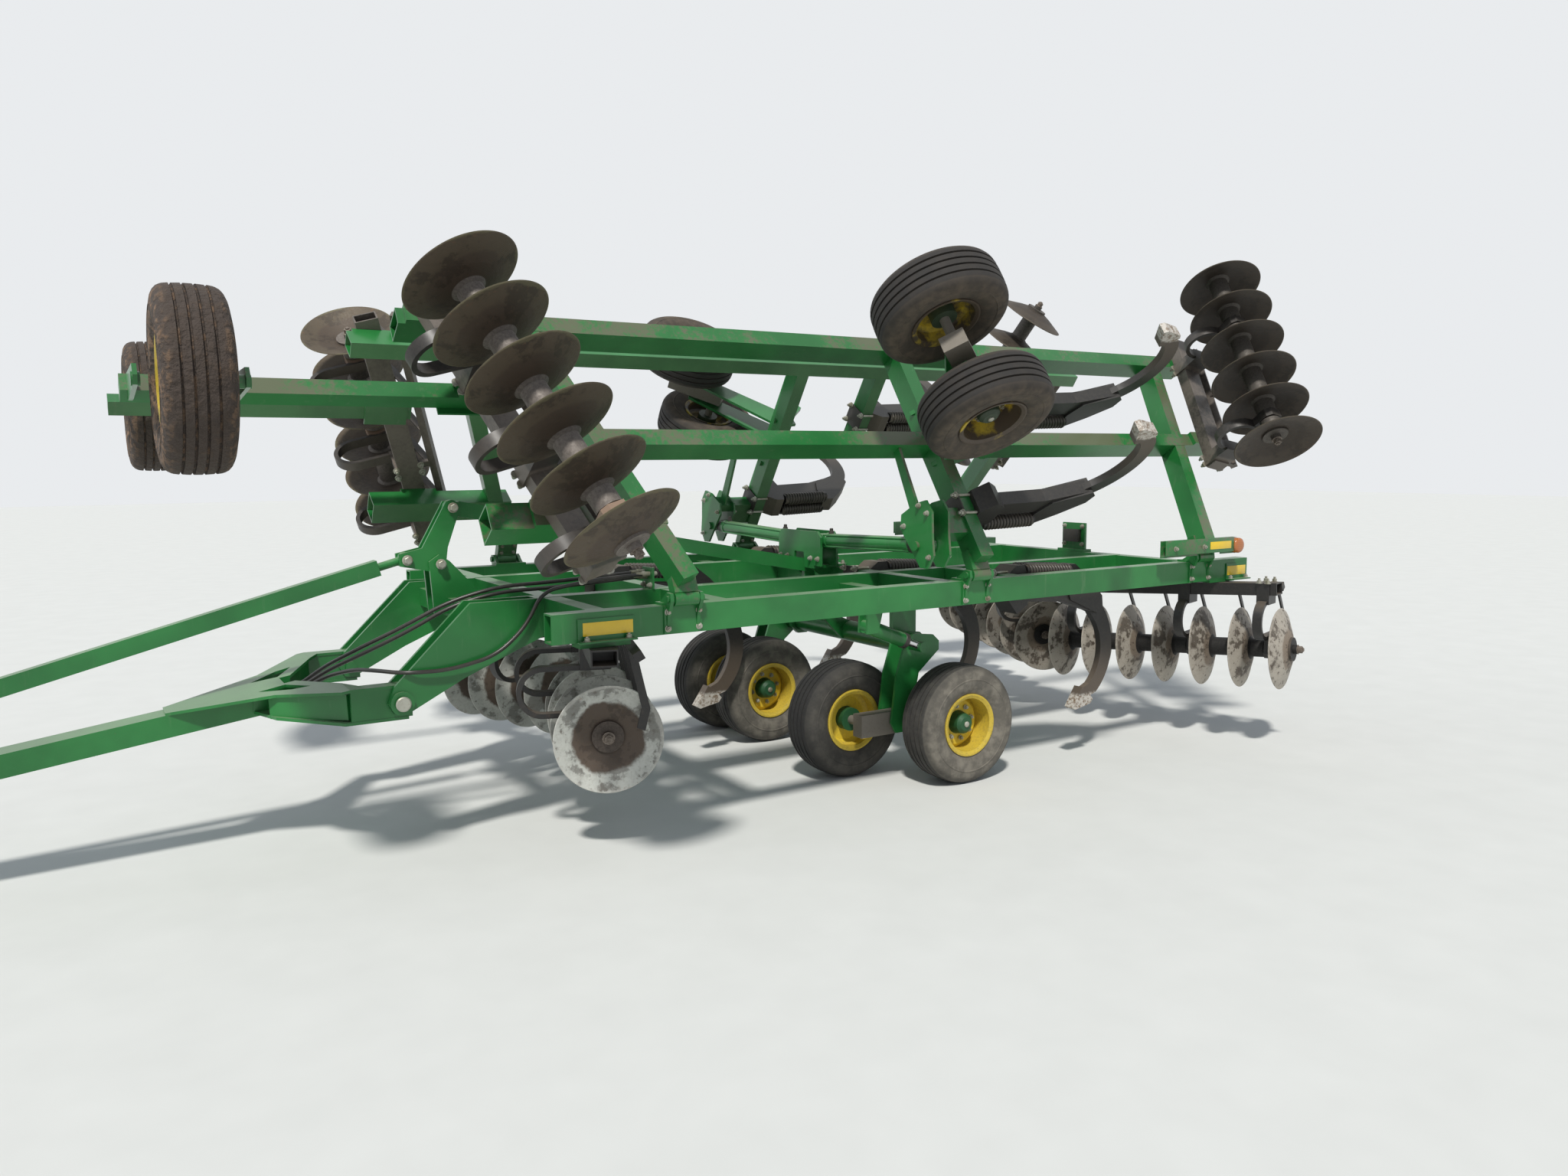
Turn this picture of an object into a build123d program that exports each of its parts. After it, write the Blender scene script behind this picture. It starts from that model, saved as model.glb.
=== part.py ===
from build123d import *
from math import cos, sin, tan, radians, hypot, acos
import os

os.makedirs("parts", exist_ok=True)

# Folded disc ripper, towed. Millimetres, +X is the driving direction, +Y the
# left side, +Z up, the ground at Z = 0.

# frame sizes
LONG_SHIFT = -393.0          # puts the middle of the length over the origin
RAIL_TALL = 152.0
RAIL_WIDE = 102.0
TUBE_WALL = 9.0
FRAME_Z = 1306.0
OUTER_RAIL_Y = 1370.0
INNER_RAIL_Y = 640.0
RAIL_FRONT_X = 1430.0
RAIL_REAR_X = -4080.0
HINGE_FRONT_X = 700.0
HINGE_MIDDLE_X = -1360.0
HINGE_REAR_X = -3520.0

# wing sizes
HINGE_Y = 1450.0
HINGE_Z = 1420.0
FOLD_ANGLE = 123.7
WING_Z = -62.0
WING_RAIL_MID = 930.0
WING_RAIL_OUTER = 1680.0
HINGE_PIN_R = 19.0
RUNNING_GAP = 0.05

# disc gangs
DISC_R = 300.0
DISC_THICK = 8.0
DISC_DISH = 72.0
SPOOL_R = 68.0
JOURNAL_R = 45.0
JOURNAL_HALF = 36.0
BAR_WIDE = 140.0
BAR_TALL = 90.0
BAR_DROP = 32.0             # bracket blocks between the rails and the toolbars

# wheels
TYRE_R = 395.0
TYRE_HALF = 141.0
RIM_R = 190.0
FLANGE_R = 208.0
SPINDLE_R = 30.0
HUB_R = 78.0
WHEEL_Z = TYRE_R

# hitch
PIN_X = 2000.0
PIN_Y = 645.0
PIN_Z = 880.0
HITCH_X = 5200.0
HITCH_Z = 470.0
HITCH_BORE_R = 20.0

BASE = Plane(origin=(LONG_SHIFT, 0, 0))
WING = Plane(
    origin=(LONG_SHIFT, HINGE_Y, HINGE_Z),
    x_dir=(1, 0, 0),
    z_dir=(0, -sin(radians(FOLD_ANGLE)), cos(radians(FOLD_ANGLE))),
)


def point(frame, place):
    return frame.from_local_coords(Vector(*place))


def heading(frame, way):
    return (frame.from_local_coords(Vector(*way)) - frame.origin).normalized()


def section_plane(frame, start, end, up):
    """A plane at start, square to the run, its local Y on the up side."""
    low = point(frame, start)
    along = (point(frame, end) - low).normalized()
    side = heading(frame, up).cross(along).normalized()
    return Plane(origin=low, x_dir=side, z_dir=along)


def run_length(start, end):
    return (Vector(*end) - Vector(*start)).length


def bar(frame, start, end, wide, tall, up=(0, 0, 1), mode=Mode.ADD):
    with BuildSketch(section_plane(frame, start, end, up)) as outline:
        Rectangle(wide, tall)
    extrude(outline.sketch, amount=run_length(start, end), mode=mode)


def open_end(frame, end, start, wide, tall, deep=160.0, up=(0, 0, 1)):
    """Hollows a tube from the end that is seen open."""
    with BuildSketch(section_plane(frame, end, start, up)) as outline:
        Rectangle(wide - 2 * TUBE_WALL, tall - 2 * TUBE_WALL)
    extrude(outline.sketch, amount=deep, mode=Mode.SUBTRACT)


def rod(frame, start, end, radius, mode=Mode.ADD):
    up = (0, 0, 1)
    if abs(end[2] - start[2]) > 0.9 * run_length(start, end):
        up = (1, 0, 0)
    with BuildSketch(section_plane(frame, start, end, up)) as outline:
        Circle(radius)
    extrude(outline.sketch, amount=run_length(start, end), mode=mode)


def side_plate(frame, corners, y, thick, mode=Mode.ADD):
    """A plate square to local Y, its outline given as X and Z pairs."""
    across = heading(frame, (0, -1, 0))
    flat = Plane(origin=point(frame, (0, y, 0)), x_dir=heading(frame, (1, 0, 0)), z_dir=across)
    with BuildSketch(flat) as outline:
        Polygon(*corners, align=None)
    extrude(outline.sketch, amount=thick / 2, both=True, mode=mode)


def cross_plate(frame, corners, x, thick, mode=Mode.ADD):
    """A plate square to local X, its outline given as Y and Z pairs."""
    flat = Plane(
        origin=point(frame, (x, 0, 0)),
        x_dir=heading(frame, (0, 1, 0)),
        z_dir=heading(frame, (1, 0, 0)),
    )
    with BuildSketch(flat) as outline:
        Polygon(*corners, align=None)
    extrude(outline.sketch, amount=thick / 2, both=True, mode=mode)


def flat_plate(frame, corners, z, thick, mode=Mode.ADD):
    """A plate square to local Z, its outline given as X and Y pairs."""
    flat = Plane(
        origin=point(frame, (0, 0, z)),
        x_dir=heading(frame, (1, 0, 0)),
        z_dir=heading(frame, (0, 0, 1)),
    )
    with BuildSketch(flat) as outline:
        Polygon(*corners, align=None)
    extrude(outline.sketch, amount=thick / 2, both=True, mode=mode)


# gangs table
# Each gang: frame, first disc, last disc, number of discs, which way the
# discs are hollow (+1 to the last disc), toolbar ends, hanger places and how
# far the crown of each C-spring lies in front of the toolbar.
class Gang:
    def __init__(self, frame, first, last, discs, hollow, bar_start, bar_end, hangers, crown):
        self.frame = frame
        self.first = Vector(*first)
        self.last = Vector(*last)
        self.discs = discs
        self.hollow = hollow
        self.bar_start = bar_start
        self.bar_end = bar_end
        self.hangers = hangers
        self.crown = crown
        self.along = (self.last - self.first).normalized()
        self.pitch = (self.last - self.first).length / (discs - 1)
        self.length = (self.last - self.first).length

    def spot(self, distance):
        return self.first + self.along * distance

    def ahead(self):
        """Level direction square to the gang, to the front."""
        turned = Vector(0, 0, 1).cross(self.along)
        if turned.X < 0:
            turned = turned * -1
        return turned


FRONT_AXIS_Z = 640.0
WING_AXIS_Z = -745.0
FRONT_BAR_Z = FRAME_Z - RAIL_TALL / 2 - BAR_DROP - BAR_TALL / 2
WING_BAR_Z = WING_Z - RAIL_TALL / 2 - BAR_DROP + 2.0 - BAR_TALL / 2
REAR_BAR_IN_Z = 1091.0
REAR_BAR_OUT_Z = 1190.0

CENTRE_FRONT = Gang(
    BASE, (720, 215, FRONT_AXIS_Z), (1000, 1085, FRONT_AXIS_Z), 4, 1,
    (721, 60, FRONT_BAR_Z), (1190, 1515, FRONT_BAR_Z), (0.5, 2.5), 285.0,
)
CENTRE_REAR = Gang(
    BASE, (-3570, 172, 637), (-4105, 1800, 730), 7, -1,
    (-3366, 60, REAR_BAR_IN_Z), (-3935, 1800, REAR_BAR_OUT_Z), (0.5, 3.5, 5.5), 57.0,
)
WING_FRONT = Gang(
    WING, (1300, -60, WING_AXIS_Z), (1750, 1350, WING_AXIS_Z), 6, 1,
    (1253, 150, WING_BAR_Z), (1800, 1790, WING_BAR_Z), (0.5, 2.5, 4.5), 285.0,
)
WING_REAR = Gang(
    WING, (-3860, 560, WING_AXIS_Z), (-4210, 1980, WING_AXIS_Z), 6, -1,
    (-3900, 640, WING_BAR_Z), (-4200, 1800, WING_BAR_Z), (0.5, 3.5), 100.0,
)


def gang_profile(gang):
    """Half section of a gang: radius along local X, the axle along local Y."""
    rows = [(0.0, -50.0), (34.0, -50.0), (34.0, -18.0), (SPOOL_R + 20.0, -18.0)]
    hollow = gang.hollow
    mid = 0.52 * DISC_R
    low = 0.28 * DISC_DISH
    for index in range(gang.discs):
        base = index * gang.pitch
        near = base - DISC_THICK / 2
        far = base + DISC_THICK / 2
        if index > 0:
            rows += [(SPOOL_R, near - 14.0), (SPOOL_R + 20.0, near)]
        else:
            rows += [(SPOOL_R + 20.0, near)]
        rows += [
            (mid, near + hollow * low),
            (DISC_R - 4.0, near + hollow * DISC_DISH),
            (DISC_R, base + hollow * DISC_DISH),
            (DISC_R - 4.0, far + hollow * DISC_DISH),
            (mid, far + hollow * low),
        ]
        if index < gang.discs - 1:
            rows += [(SPOOL_R + 20.0, far), (SPOOL_R, far + 14.0)]
            for hanger in gang.hangers:
                if int(hanger) == index:
                    middle = base + gang.pitch / 2
                    rows += [
                        (SPOOL_R, middle - JOURNAL_HALF),
                        (JOURNAL_R, middle - JOURNAL_HALF),
                        (JOURNAL_R, middle + JOURNAL_HALF),
                        (SPOOL_R, middle + JOURNAL_HALF),
                    ]
    end = gang.length
    rows += [
        (SPOOL_R + 20.0, end + DISC_THICK / 2),
        (SPOOL_R + 20.0, end + 20.0),
        (34.0, end + 20.0),
        (34.0, end + 50.0),
        (0.0, end + 50.0),
    ]
    return rows


def turn_gang(gang):
    start = point(gang.frame, tuple(gang.first))
    axle = heading(gang.frame, tuple(gang.along))
    out = heading(gang.frame, tuple(gang.ahead()))
    with BuildSketch(Plane(origin=start, x_dir=out, z_dir=out.cross(axle))) as outline:
        with BuildLine():
            Polyline(*gang_profile(gang), close=True)
        make_face()
    revolve(outline.sketch, axis=Axis(start, axle))


SPRING_WIDE = 64.0
SPRING_THICK = 28.0
SPRING_R = 145.0
SPRING_LIFT = 90.0           # underside of the C-spring over the axle
SCRAPER_BACK = 175.0         # scraper bar behind the toolbar
SCRAPER_WIDE = 50.0
SCRAPER_SIDE = 92.0          # arm beside the hollow face of its disc


def hang_gang(gang):
    """C-springs, bearing blocks and toolbar of one gang."""
    frame = gang.frame
    bar(frame, gang.bar_start, gang.bar_end, BAR_WIDE, BAR_TALL)
    open_end(frame, gang.bar_end, gang.bar_start, BAR_WIDE, BAR_TALL)
    ahead = gang.ahead()
    out = heading(frame, tuple(ahead))
    axle = heading(frame, tuple(gang.along))
    up = heading(frame, (0, 0, 1))
    start = Vector(*gang.bar_start)
    way = (Vector(*gang.bar_end) - start).normalized()
    for hanger in gang.hangers:
        place = gang.spot(hanger * gang.pitch)
        # where the toolbar passes over this bearing
        over = start + way * (place - start).dot(way)
        lead = (over - place).dot(ahead)
        bar_top = over.Z + BAR_TALL / 2 - place.Z
        hub = point(frame, tuple(place))
        flat = Plane(origin=hub, x_dir=out, z_dir=out.cross(up))
        crown = lead + gang.crown
        low = SPRING_LIFT
        high = SPRING_LIFT + 2 * SPRING_R
        mid = SPRING_LIFT + SPRING_R
        with BuildSketch(flat) as outline:
            with BuildLine():
                Polyline((crown, high), (lead - 90.0, high), (lead - 90.0, high - SPRING_THICK),
                         (crown, high - SPRING_THICK))
                ThreePointArc((crown, high - SPRING_THICK), (crown + SPRING_R - SPRING_THICK, mid),
                              (crown, low + SPRING_THICK))
                Polyline((crown, low + SPRING_THICK), (-80.0, low + SPRING_THICK), (-80.0, low), (crown, low))
                ThreePointArc((crown, low), (crown + SPRING_R, mid), (crown, high))
            make_face()
        extrude(outline.sketch, amount=SPRING_WIDE / 2, both=True)
        # hanger post and bearing block
        with BuildSketch(flat) as outline:
            Polygon((-60, low + 4), (60, low + 4), (70, -34), (44, -70), (-44, -70), (-70, -34), align=None)
        extrude(outline.sketch, amount=SPRING_WIDE / 2 - 2, both=True)
        with BuildSketch(Plane(origin=hub, x_dir=out, z_dir=axle)) as outline:
            Circle(JOURNAL_R + RUNNING_GAP)
        extrude(outline.sketch, amount=SPRING_WIDE, both=True, mode=Mode.SUBTRACT)
        # clamp from the spring up to the top of the toolbar
        with BuildSketch(flat) as outline:
            with Locations((lead, (high - SPRING_THICK + bar_top) / 2)):
                Rectangle(BAR_WIDE + 26, bar_top - high + SPRING_THICK)
        extrude(outline.sketch, amount=SPRING_WIDE / 2 + 12, both=True)
        # stay of the scraper bar
        stay = over - ahead * (BAR_WIDE / 2 - 4)
        bar(frame, tuple(stay), tuple(stay - ahead * (SCRAPER_BACK - BAR_WIDE / 2)), 40, 30)
    hang_scrapers(gang, start, way)


def hang_scrapers(gang, start, way):
    """Bar behind the toolbar with one arm beside each disc."""
    frame = gang.frame
    ahead = gang.ahead()
    back = ahead * -SCRAPER_BACK
    near = start + back + way * 40
    far = Vector(*gang.bar_end) + back - way * 20
    bar(frame, tuple(near), tuple(far), SCRAPER_WIDE, SCRAPER_WIDE, up=(0.5 * way.Y, -0.5 * way.X, 0.866))
    for index in range(gang.discs):
        place = gang.spot(index * gang.pitch) + gang.along * (gang.hollow * SCRAPER_SIDE)
        over = start + back + way * (place - start).dot(way)
        reach = (over - near).dot(way)
        if reach < 0 or reach > (far - near).length:
            continue
        flat = Plane(origin=point(frame, tuple(place)), x_dir=heading(frame, tuple(ahead)),
                     z_dir=heading(frame, tuple(gang.along * -1)))
        lead = (over - place).dot(ahead)
        high = over.Z - place.Z
        with BuildSketch(flat) as outline:
            Polygon((lead - 22, high), (lead + 22, high), (-178, 170), (-150, 60), (-195, 40), (-225, 160), align=None)
        extrude(outline.sketch, amount=6, both=True)


# rippers
SHANK_THICK = 46.0


def stand_ripper(frame, x, y, z):
    """Spring reset standard behind a cross tube at x, without its shank."""
    side = heading(frame, (0, -1, 0))
    back = -RAIL_WIDE / 2
    flat = Plane(origin=point(frame, (x, y, z)), x_dir=heading(frame, (1, 0, 0)), z_dir=side)
    with BuildSketch(flat) as outline:
        Polygon((back, 74), (-120, 122), (-190, 122), (-240, 20), (-225, -150), (-130, -205), (back, -110),
                align=None)
    extrude(outline.sketch, amount=82, both=True)
    with BuildSketch(flat) as outline:
        Polygon((-180, 0), (-200, -130), (-600, -160), (-930, -262), (-985, -225), (-958, -140), (-700, -62),
                (-600, -20), align=None)
    extrude(outline.sketch, amount=46, both=True)
    with BuildSketch(flat) as outline:
        Polygon((-610, 96), (-700, 100), (-830, 0), (-975, -140), (-985, -228), (-935, -266), (-660, -150),
                (-610, -30), align=None)
    extrude(outline.sketch, amount=60, both=True)
    for offset in (-52.0, 52.0):
        rod(frame, (x - 215, y + offset, z + 80), (x - 640, y + offset, z + 56), 40.0)


def hang_shank(frame, x, y, z):
    """Curved shank of a ripper, down to its point holder."""
    side = heading(frame, (0, -1, 0))
    flat = Plane(origin=point(frame, (x, y, z)), x_dir=heading(frame, (1, 0, 0)), z_dir=side)
    with BuildSketch(flat) as outline:
        with BuildLine():
            Polyline((-905, -775), (-815, -815), (-835, -890), (-975, -845))
            ThreePointArc((-975, -845), (-1122, -562), (-1000, -200))
            Polyline((-1000, -200), (-900, -120), (-840, -190), (-918, -290))
            ThreePointArc((-918, -290), (-1012, -540), (-905, -775))
        make_face()
    extrude(outline.sketch, amount=SHANK_THICK / 2, both=True)


def tip_ripper(frame, x, y, z):
    """Replaceable point at the toe of the shank."""
    side = heading(frame, (0, -1, 0))
    flat = Plane(origin=point(frame, (x, y, z)), x_dir=heading(frame, (1, 0, 0)), z_dir=side)
    with BuildSketch(flat) as outline:
        Polygon((-725, -930), (-820, -790), (-868, -815), (-930, -888), (-905, -918), (-755, -948), align=None)
    extrude(outline.sketch, amount=38, both=True)


# wheels
def tyre_profile():
    return [
        (RIM_R, -101.0), (RIM_R + 22.0, -113.0), (285.0, -TYRE_HALF), (345.0, -TYRE_HALF + 4.0),
        (382.0, -112.0), (TYRE_R - 2.0, -80.0), (TYRE_R, 0.0), (TYRE_R - 2.0, 80.0),
        (382.0, 112.0), (345.0, TYRE_HALF - 4.0), (285.0, TYRE_HALF), (RIM_R + 22.0, 113.0),
        (RIM_R, 101.0),
    ]


def rim_profile(outer):
    """Rim, disc and hub; outer is +1 where the hub cap looks along the axis."""
    return [
        (SPINDLE_R + RUNNING_GAP, -90.0 * outer), (HUB_R, -90.0 * outer), (HUB_R, -18.0 * outer),
        (150.0, -18.0 * outer), (RIM_R - 12.0, -40.0 * outer), (RIM_R - 12.0, -112.0 * outer),
        (FLANGE_R - 10.0, -122.0 * outer), (FLANGE_R, -122.0 * outer), (FLANGE_R, -112.0 * outer),
        (RIM_R, -102.0 * outer), (RIM_R, 102.0 * outer), (FLANGE_R, 112.0 * outer),
        (FLANGE_R, 122.0 * outer), (FLANGE_R - 10.0, 122.0 * outer), (RIM_R - 12.0, 112.0 * outer),
        (RIM_R - 12.0, -26.0 * outer), (150.0, -4.0 * outer), (HUB_R, -4.0 * outer),
        (HUB_R - 12.0, 66.0 * outer), (46.0, 84.0 * outer), (0.0, 88.0 * outer), (0.0, 60.0 * outer),
        (SPINDLE_R + RUNNING_GAP, 60.0 * outer),
    ]


def spin(frame, centre, axle, rows):
    middle = point(frame, centre)
    way = heading(frame, axle)
    hint = heading(frame, (0, 0, 1))
    out = (hint - way * hint.dot(way)).normalized()
    with BuildSketch(Plane(origin=middle, x_dir=out, z_dir=out.cross(way))) as outline:
        with BuildLine():
            Polyline(*rows, close=True)
        make_face()
    revolve(outline.sketch, axis=Axis(middle, way))


LEFT_FRONT_X = -950.0
LEFT_REAR_X = -1500.0
RIGHT_FRONT_X = -950.0
RIGHT_REAR_X = -1010.0
GAUGE_X = 2939.0
GAUGE_Y = 952.0
GAUGE_Z = -500.0

# Each wheel: frame, centre, axle direction, side of the cap along the axle.
WHEELS = {
    "left_inner": (BASE, (LEFT_FRONT_X, 570, WHEEL_Z), (0, 1, 0), -1),
    "left_outer": (BASE, (LEFT_REAR_X, 1110, WHEEL_Z), (0, 1, 0), 1),
    "right_inner": (BASE, (RIGHT_REAR_X, -570, WHEEL_Z), (0, 1, 0), 1),
    "right_outer": (BASE, (RIGHT_FRONT_X, -1110, WHEEL_Z), (0, 1, 0), -1),
    "wing_inner": (WING, (-1150, 700, -790), (0, 1, 0), -1),
    "wing_outer": (WING, (-920, 1260, -980), (0, 1, 0), 1),
    "gauge": (WING, (GAUGE_X, GAUGE_Y, GAUGE_Z), (1, 0, 0), 1),
}

with BuildPart() as tyre_left_inner:
    spin(*WHEELS["left_inner"][:3], tyre_profile())
with BuildPart() as tyre_left_outer:
    spin(*WHEELS["left_outer"][:3], tyre_profile())
with BuildPart() as tyre_right_inner:
    spin(*WHEELS["right_inner"][:3], tyre_profile())
with BuildPart() as tyre_right_outer:
    spin(*WHEELS["right_outer"][:3], tyre_profile())
with BuildPart() as tyre_wing_left_inner:
    spin(*WHEELS["wing_inner"][:3], tyre_profile())
with BuildPart() as tyre_wing_left_outer:
    spin(*WHEELS["wing_outer"][:3], tyre_profile())
with BuildPart() as tyre_gauge_left:
    spin(*WHEELS["gauge"][:3], tyre_profile())

with BuildPart() as rim_left_inner:
    spin(*WHEELS["left_inner"][:3], rim_profile(-1))
with BuildPart() as rim_left_outer:
    spin(*WHEELS["left_outer"][:3], rim_profile(1))
with BuildPart() as rim_right_inner:
    spin(*WHEELS["right_inner"][:3], rim_profile(1))
with BuildPart() as rim_right_outer:
    spin(*WHEELS["right_outer"][:3], rim_profile(-1))
with BuildPart() as rim_wing_left_inner:
    spin(*WHEELS["wing_inner"][:3], rim_profile(-1))
with BuildPart() as rim_wing_left_outer:
    spin(*WHEELS["wing_outer"][:3], rim_profile(1))
with BuildPart() as rim_gauge_left:
    spin(*WHEELS["gauge"][:3], rim_profile(1))

# disc gangs
with BuildPart() as gang_centre_front_left:
    turn_gang(CENTRE_FRONT)
with BuildPart() as gang_centre_rear_left:
    turn_gang(CENTRE_REAR)
with BuildPart() as gang_wing_front_left:
    turn_gang(WING_FRONT)
with BuildPart() as gang_wing_rear_left:
    turn_gang(WING_REAR)

with BuildPart() as hangers_centre_left:
    hang_gang(CENTRE_FRONT)
    hang_gang(CENTRE_REAR)
with BuildPart() as hangers_centre:
    add(hangers_centre_left.part)
    add(mirror(hangers_centre_left.part, about=Plane.XZ, mode=Mode.PRIVATE))
with BuildPart() as hangers_wing_left:
    hang_gang(WING_FRONT)
    hang_gang(WING_REAR)

# centre frame
COUPLING_X = 520.0
BRACKET = (
    (2068, 880), (2035, 968), (1619, 1382), (1201, 1382), (1201, 1170), (1391, 1093), (1664, 977),
    (1976, 815), (2035, 820),
)
CROSS_TUBES = (1150.0, 420.0, -1200.0, HINGE_REAR_X)
FOLD_X = -1040.0
FOLD_BASE_Y = 200.0
FOLD_BASE_Z = 1575.0
FOLD_PIN_R = 24.0
SHAFT_X = -1400.0
SHAFT_Z = 880.0
LIFT_BAR_X = -880.0
TOP_Z = FRAME_Z + RAIL_TALL / 2
UNDER_Z = FRAME_Z - RAIL_TALL / 2
SHAFT_R = 75.0
BLOCKS = (
    (INNER_RAIL_Y, 768, 1048, UNDER_Z - BAR_DROP), (OUTER_RAIL_Y, 1003, 1283, UNDER_Z - BAR_DROP),
    (OUTER_RAIL_Y, -3934, -3654, 1215.6), (INNER_RAIL_Y, -3569, -3420, 1172.0),
)


def outer_rail(side, mode=Mode.ADD):
    bar(BASE, (RAIL_FRONT_X, side * OUTER_RAIL_Y, FRAME_Z), (RAIL_REAR_X, side * OUTER_RAIL_Y, FRAME_Z),
        RAIL_WIDE, RAIL_TALL, mode=mode)


def inner_rail(side, mode=Mode.ADD):
    bar(BASE, (1250, side * INNER_RAIL_Y, FRAME_Z), (HINGE_REAR_X, side * INNER_RAIL_Y, FRAME_Z),
        RAIL_WIDE, RAIL_TALL, mode=mode)


with BuildPart() as main_frame:
    for side in (-1, 1):
        outer_rail(side)
        inner_rail(side)
        open_end(BASE, (RAIL_FRONT_X, side * OUTER_RAIL_Y, FRAME_Z), (0, side * OUTER_RAIL_Y, FRAME_Z),
                 RAIL_WIDE, RAIL_TALL)

# cross tubes, each cut where a rail passes
with BuildPart() as cross_tubes:
    for x in CROSS_TUBES:
        bar(BASE, (x, -OUTER_RAIL_Y, FRAME_Z), (x, OUTER_RAIL_Y, FRAME_Z), RAIL_WIDE, RAIL_TALL - 4)
    bar(BASE, (-1780, INNER_RAIL_Y, FRAME_Z), (-1780, OUTER_RAIL_Y, FRAME_Z), RAIL_WIDE, RAIL_TALL - 4)
    for side in (-1, 1):
        # bars over the lift cylinders
        bar(BASE, (LIFT_BAR_X, side * INNER_RAIL_Y, UNDER_Z + 50), (LIFT_BAR_X, side * OUTER_RAIL_Y, UNDER_Z + 50),
            102, 100)
    for side in (-1, 1):
        outer_rail(side, Mode.SUBTRACT)
        inner_rail(side, Mode.SUBTRACT)

# hinge clevis stands with their pins, seated on the outer rails
RAIL_OUT_Y = OUTER_RAIL_Y + RAIL_WIDE / 2
with BuildPart() as hinge_stands:
    for side in (-1, 1):
        for x in (HINGE_FRONT_X, HINGE_MIDDLE_X, HINGE_REAR_X):
            for step in (-88.0, 88.0):
                cross_plate(BASE, (
                    (side * (RAIL_OUT_Y - 91), TOP_Z), (side * RAIL_OUT_Y, TOP_Z), (side * RAIL_OUT_Y, UNDER_Z + 10),
                    (side * (RAIL_OUT_Y + 10), UNDER_Z + 6), (side * 1440, FRAME_Z + 20),
                    (side * 1482, HINGE_Z - 10), (side * 1475, HINGE_Z + 30), (side * 1430, HINGE_Z + 34),
                    (side * 1400, HINGE_Z + 10)), x + step, 20)
            rod(BASE, (x - 110, side * HINGE_Y, HINGE_Z), (x + 110, side * HINGE_Y, HINGE_Z), HINGE_PIN_R)
            side_plate(BASE, ((x - 112, UNDER_Z + 4), (x + 112, UNDER_Z + 4), (x + 112, TOP_Z - 4), (x - 112, TOP_Z - 4)),
                       side * (RAIL_OUT_Y + 5), 10)
            bar(BASE, (x - 112, side * (RAIL_OUT_Y - 60), TOP_Z + 7), (x + 112, side * (RAIL_OUT_Y - 60), TOP_Z + 7),
                84, 14)

# plates and brackets seated on the frame
BRACKET_GAP = RAIL_WIDE / 2 + 12.0
with BuildPart() as frame_plates:
    for side in (-1, 1):
        # hitch brackets beside the front of the inner rails
        side_plate(BASE, BRACKET, side * (INNER_RAIL_Y + BRACKET_GAP), 24)
        side_plate(BASE, BRACKET, side * (INNER_RAIL_Y - BRACKET_GAP), 24)
        rod(BASE, (PIN_X, side * 540, PIN_Z), (PIN_X, side * 748, PIN_Z), 32.0)
        rod(BASE, (PIN_X, side * 715, PIN_Z), (PIN_X, side * 735, PIN_Z), 62.0)
        # bracket blocks between the rails and the toolbars: rail, x from and to, underside
        for rail_y, rear_x, front_x, low in BLOCKS:
            bar(BASE, (rear_x, side * rail_y, (UNDER_Z + low) / 2), (front_x, side * rail_y, (UNDER_Z + low) / 2),
                RAIL_WIDE, UNDER_Z - low)
        # reflector plates on the outer rails
        for rear_x, front_x in ((985, 1295), (-4060, -3830)):
            side_plate(BASE, ((rear_x, UNDER_Z + 2), (front_x, UNDER_Z + 2), (front_x, 1350), (rear_x, 1350)),
                       side * (RAIL_OUT_Y + 4), 8)
    # plate of the hose couplings
    cross_plate(BASE, ((560, TOP_Z), (700, TOP_Z), (700, 1510), (560, 1510)), COUPLING_X, 12)
    # plate on the rear cross tube
    cross_plate(BASE, ((90, TOP_Z - 2), (330, TOP_Z - 2), (330, 1612), (90, 1612)), HINGE_REAR_X, 20)
    cross_plate(BASE, ((70, TOP_Z - 2), (350, TOP_Z - 2), (350, TOP_Z + 18), (70, TOP_Z + 18)), HINGE_REAR_X, 90)

# mast of the fold cylinders
MAST_HALF = 66.0
with BuildPart() as fold_mast:
    for side in (-1, 1):
        bar(BASE, (-1251, side * 130, TOP_Z + 8), (-965, side * 130, TOP_Z + 8), 120, 20)
        side_plate(BASE, ((-1149, 1290), (-1110, 1290), (-975, TOP_Z - 2), (-1149, TOP_Z - 2)), side * 130, 20)
        rod(BASE, (FOLD_X - 75, side * FOLD_BASE_Y, FOLD_BASE_Z), (FOLD_X + 75, side * FOLD_BASE_Y, FOLD_BASE_Z),
            FOLD_PIN_R)
    for step in (-MAST_HALF, MAST_HALF):
        cross_plate(BASE, (
            (-270, 1400), (-70, 1400), (-60, 1490), (60, 1490), (70, 1400), (270, 1400), (270, 1600),
            (230, 1640), (-230, 1640), (-270, 1600)), FOLD_X + step, 18)

# tongue
TONGUE_REAR = (2480.0, 0.0, 850.0)
TONGUE_FRONT = (4980.0, 0.0, 496.0)
LINK_PIN_R = 22.0
TONGUE_WIDE = 180.0
TOP_PLATE = Plane(origin=(2250 + LONG_SHIFT, 0, 966), x_dir=(0.9868, 0, -0.1618), z_dir=(0.1618, 0, 0.9868))


def slope_plate(corners, thick, mode=Mode.ADD):
    """Part of the sloping top plate, its outline given as the run from its bend and the offset."""
    with BuildSketch(TOP_PLATE) as outline:
        Polygon(*corners, align=None)
    extrude(outline.sketch, amount=thick / 2, both=True, mode=mode)


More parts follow.
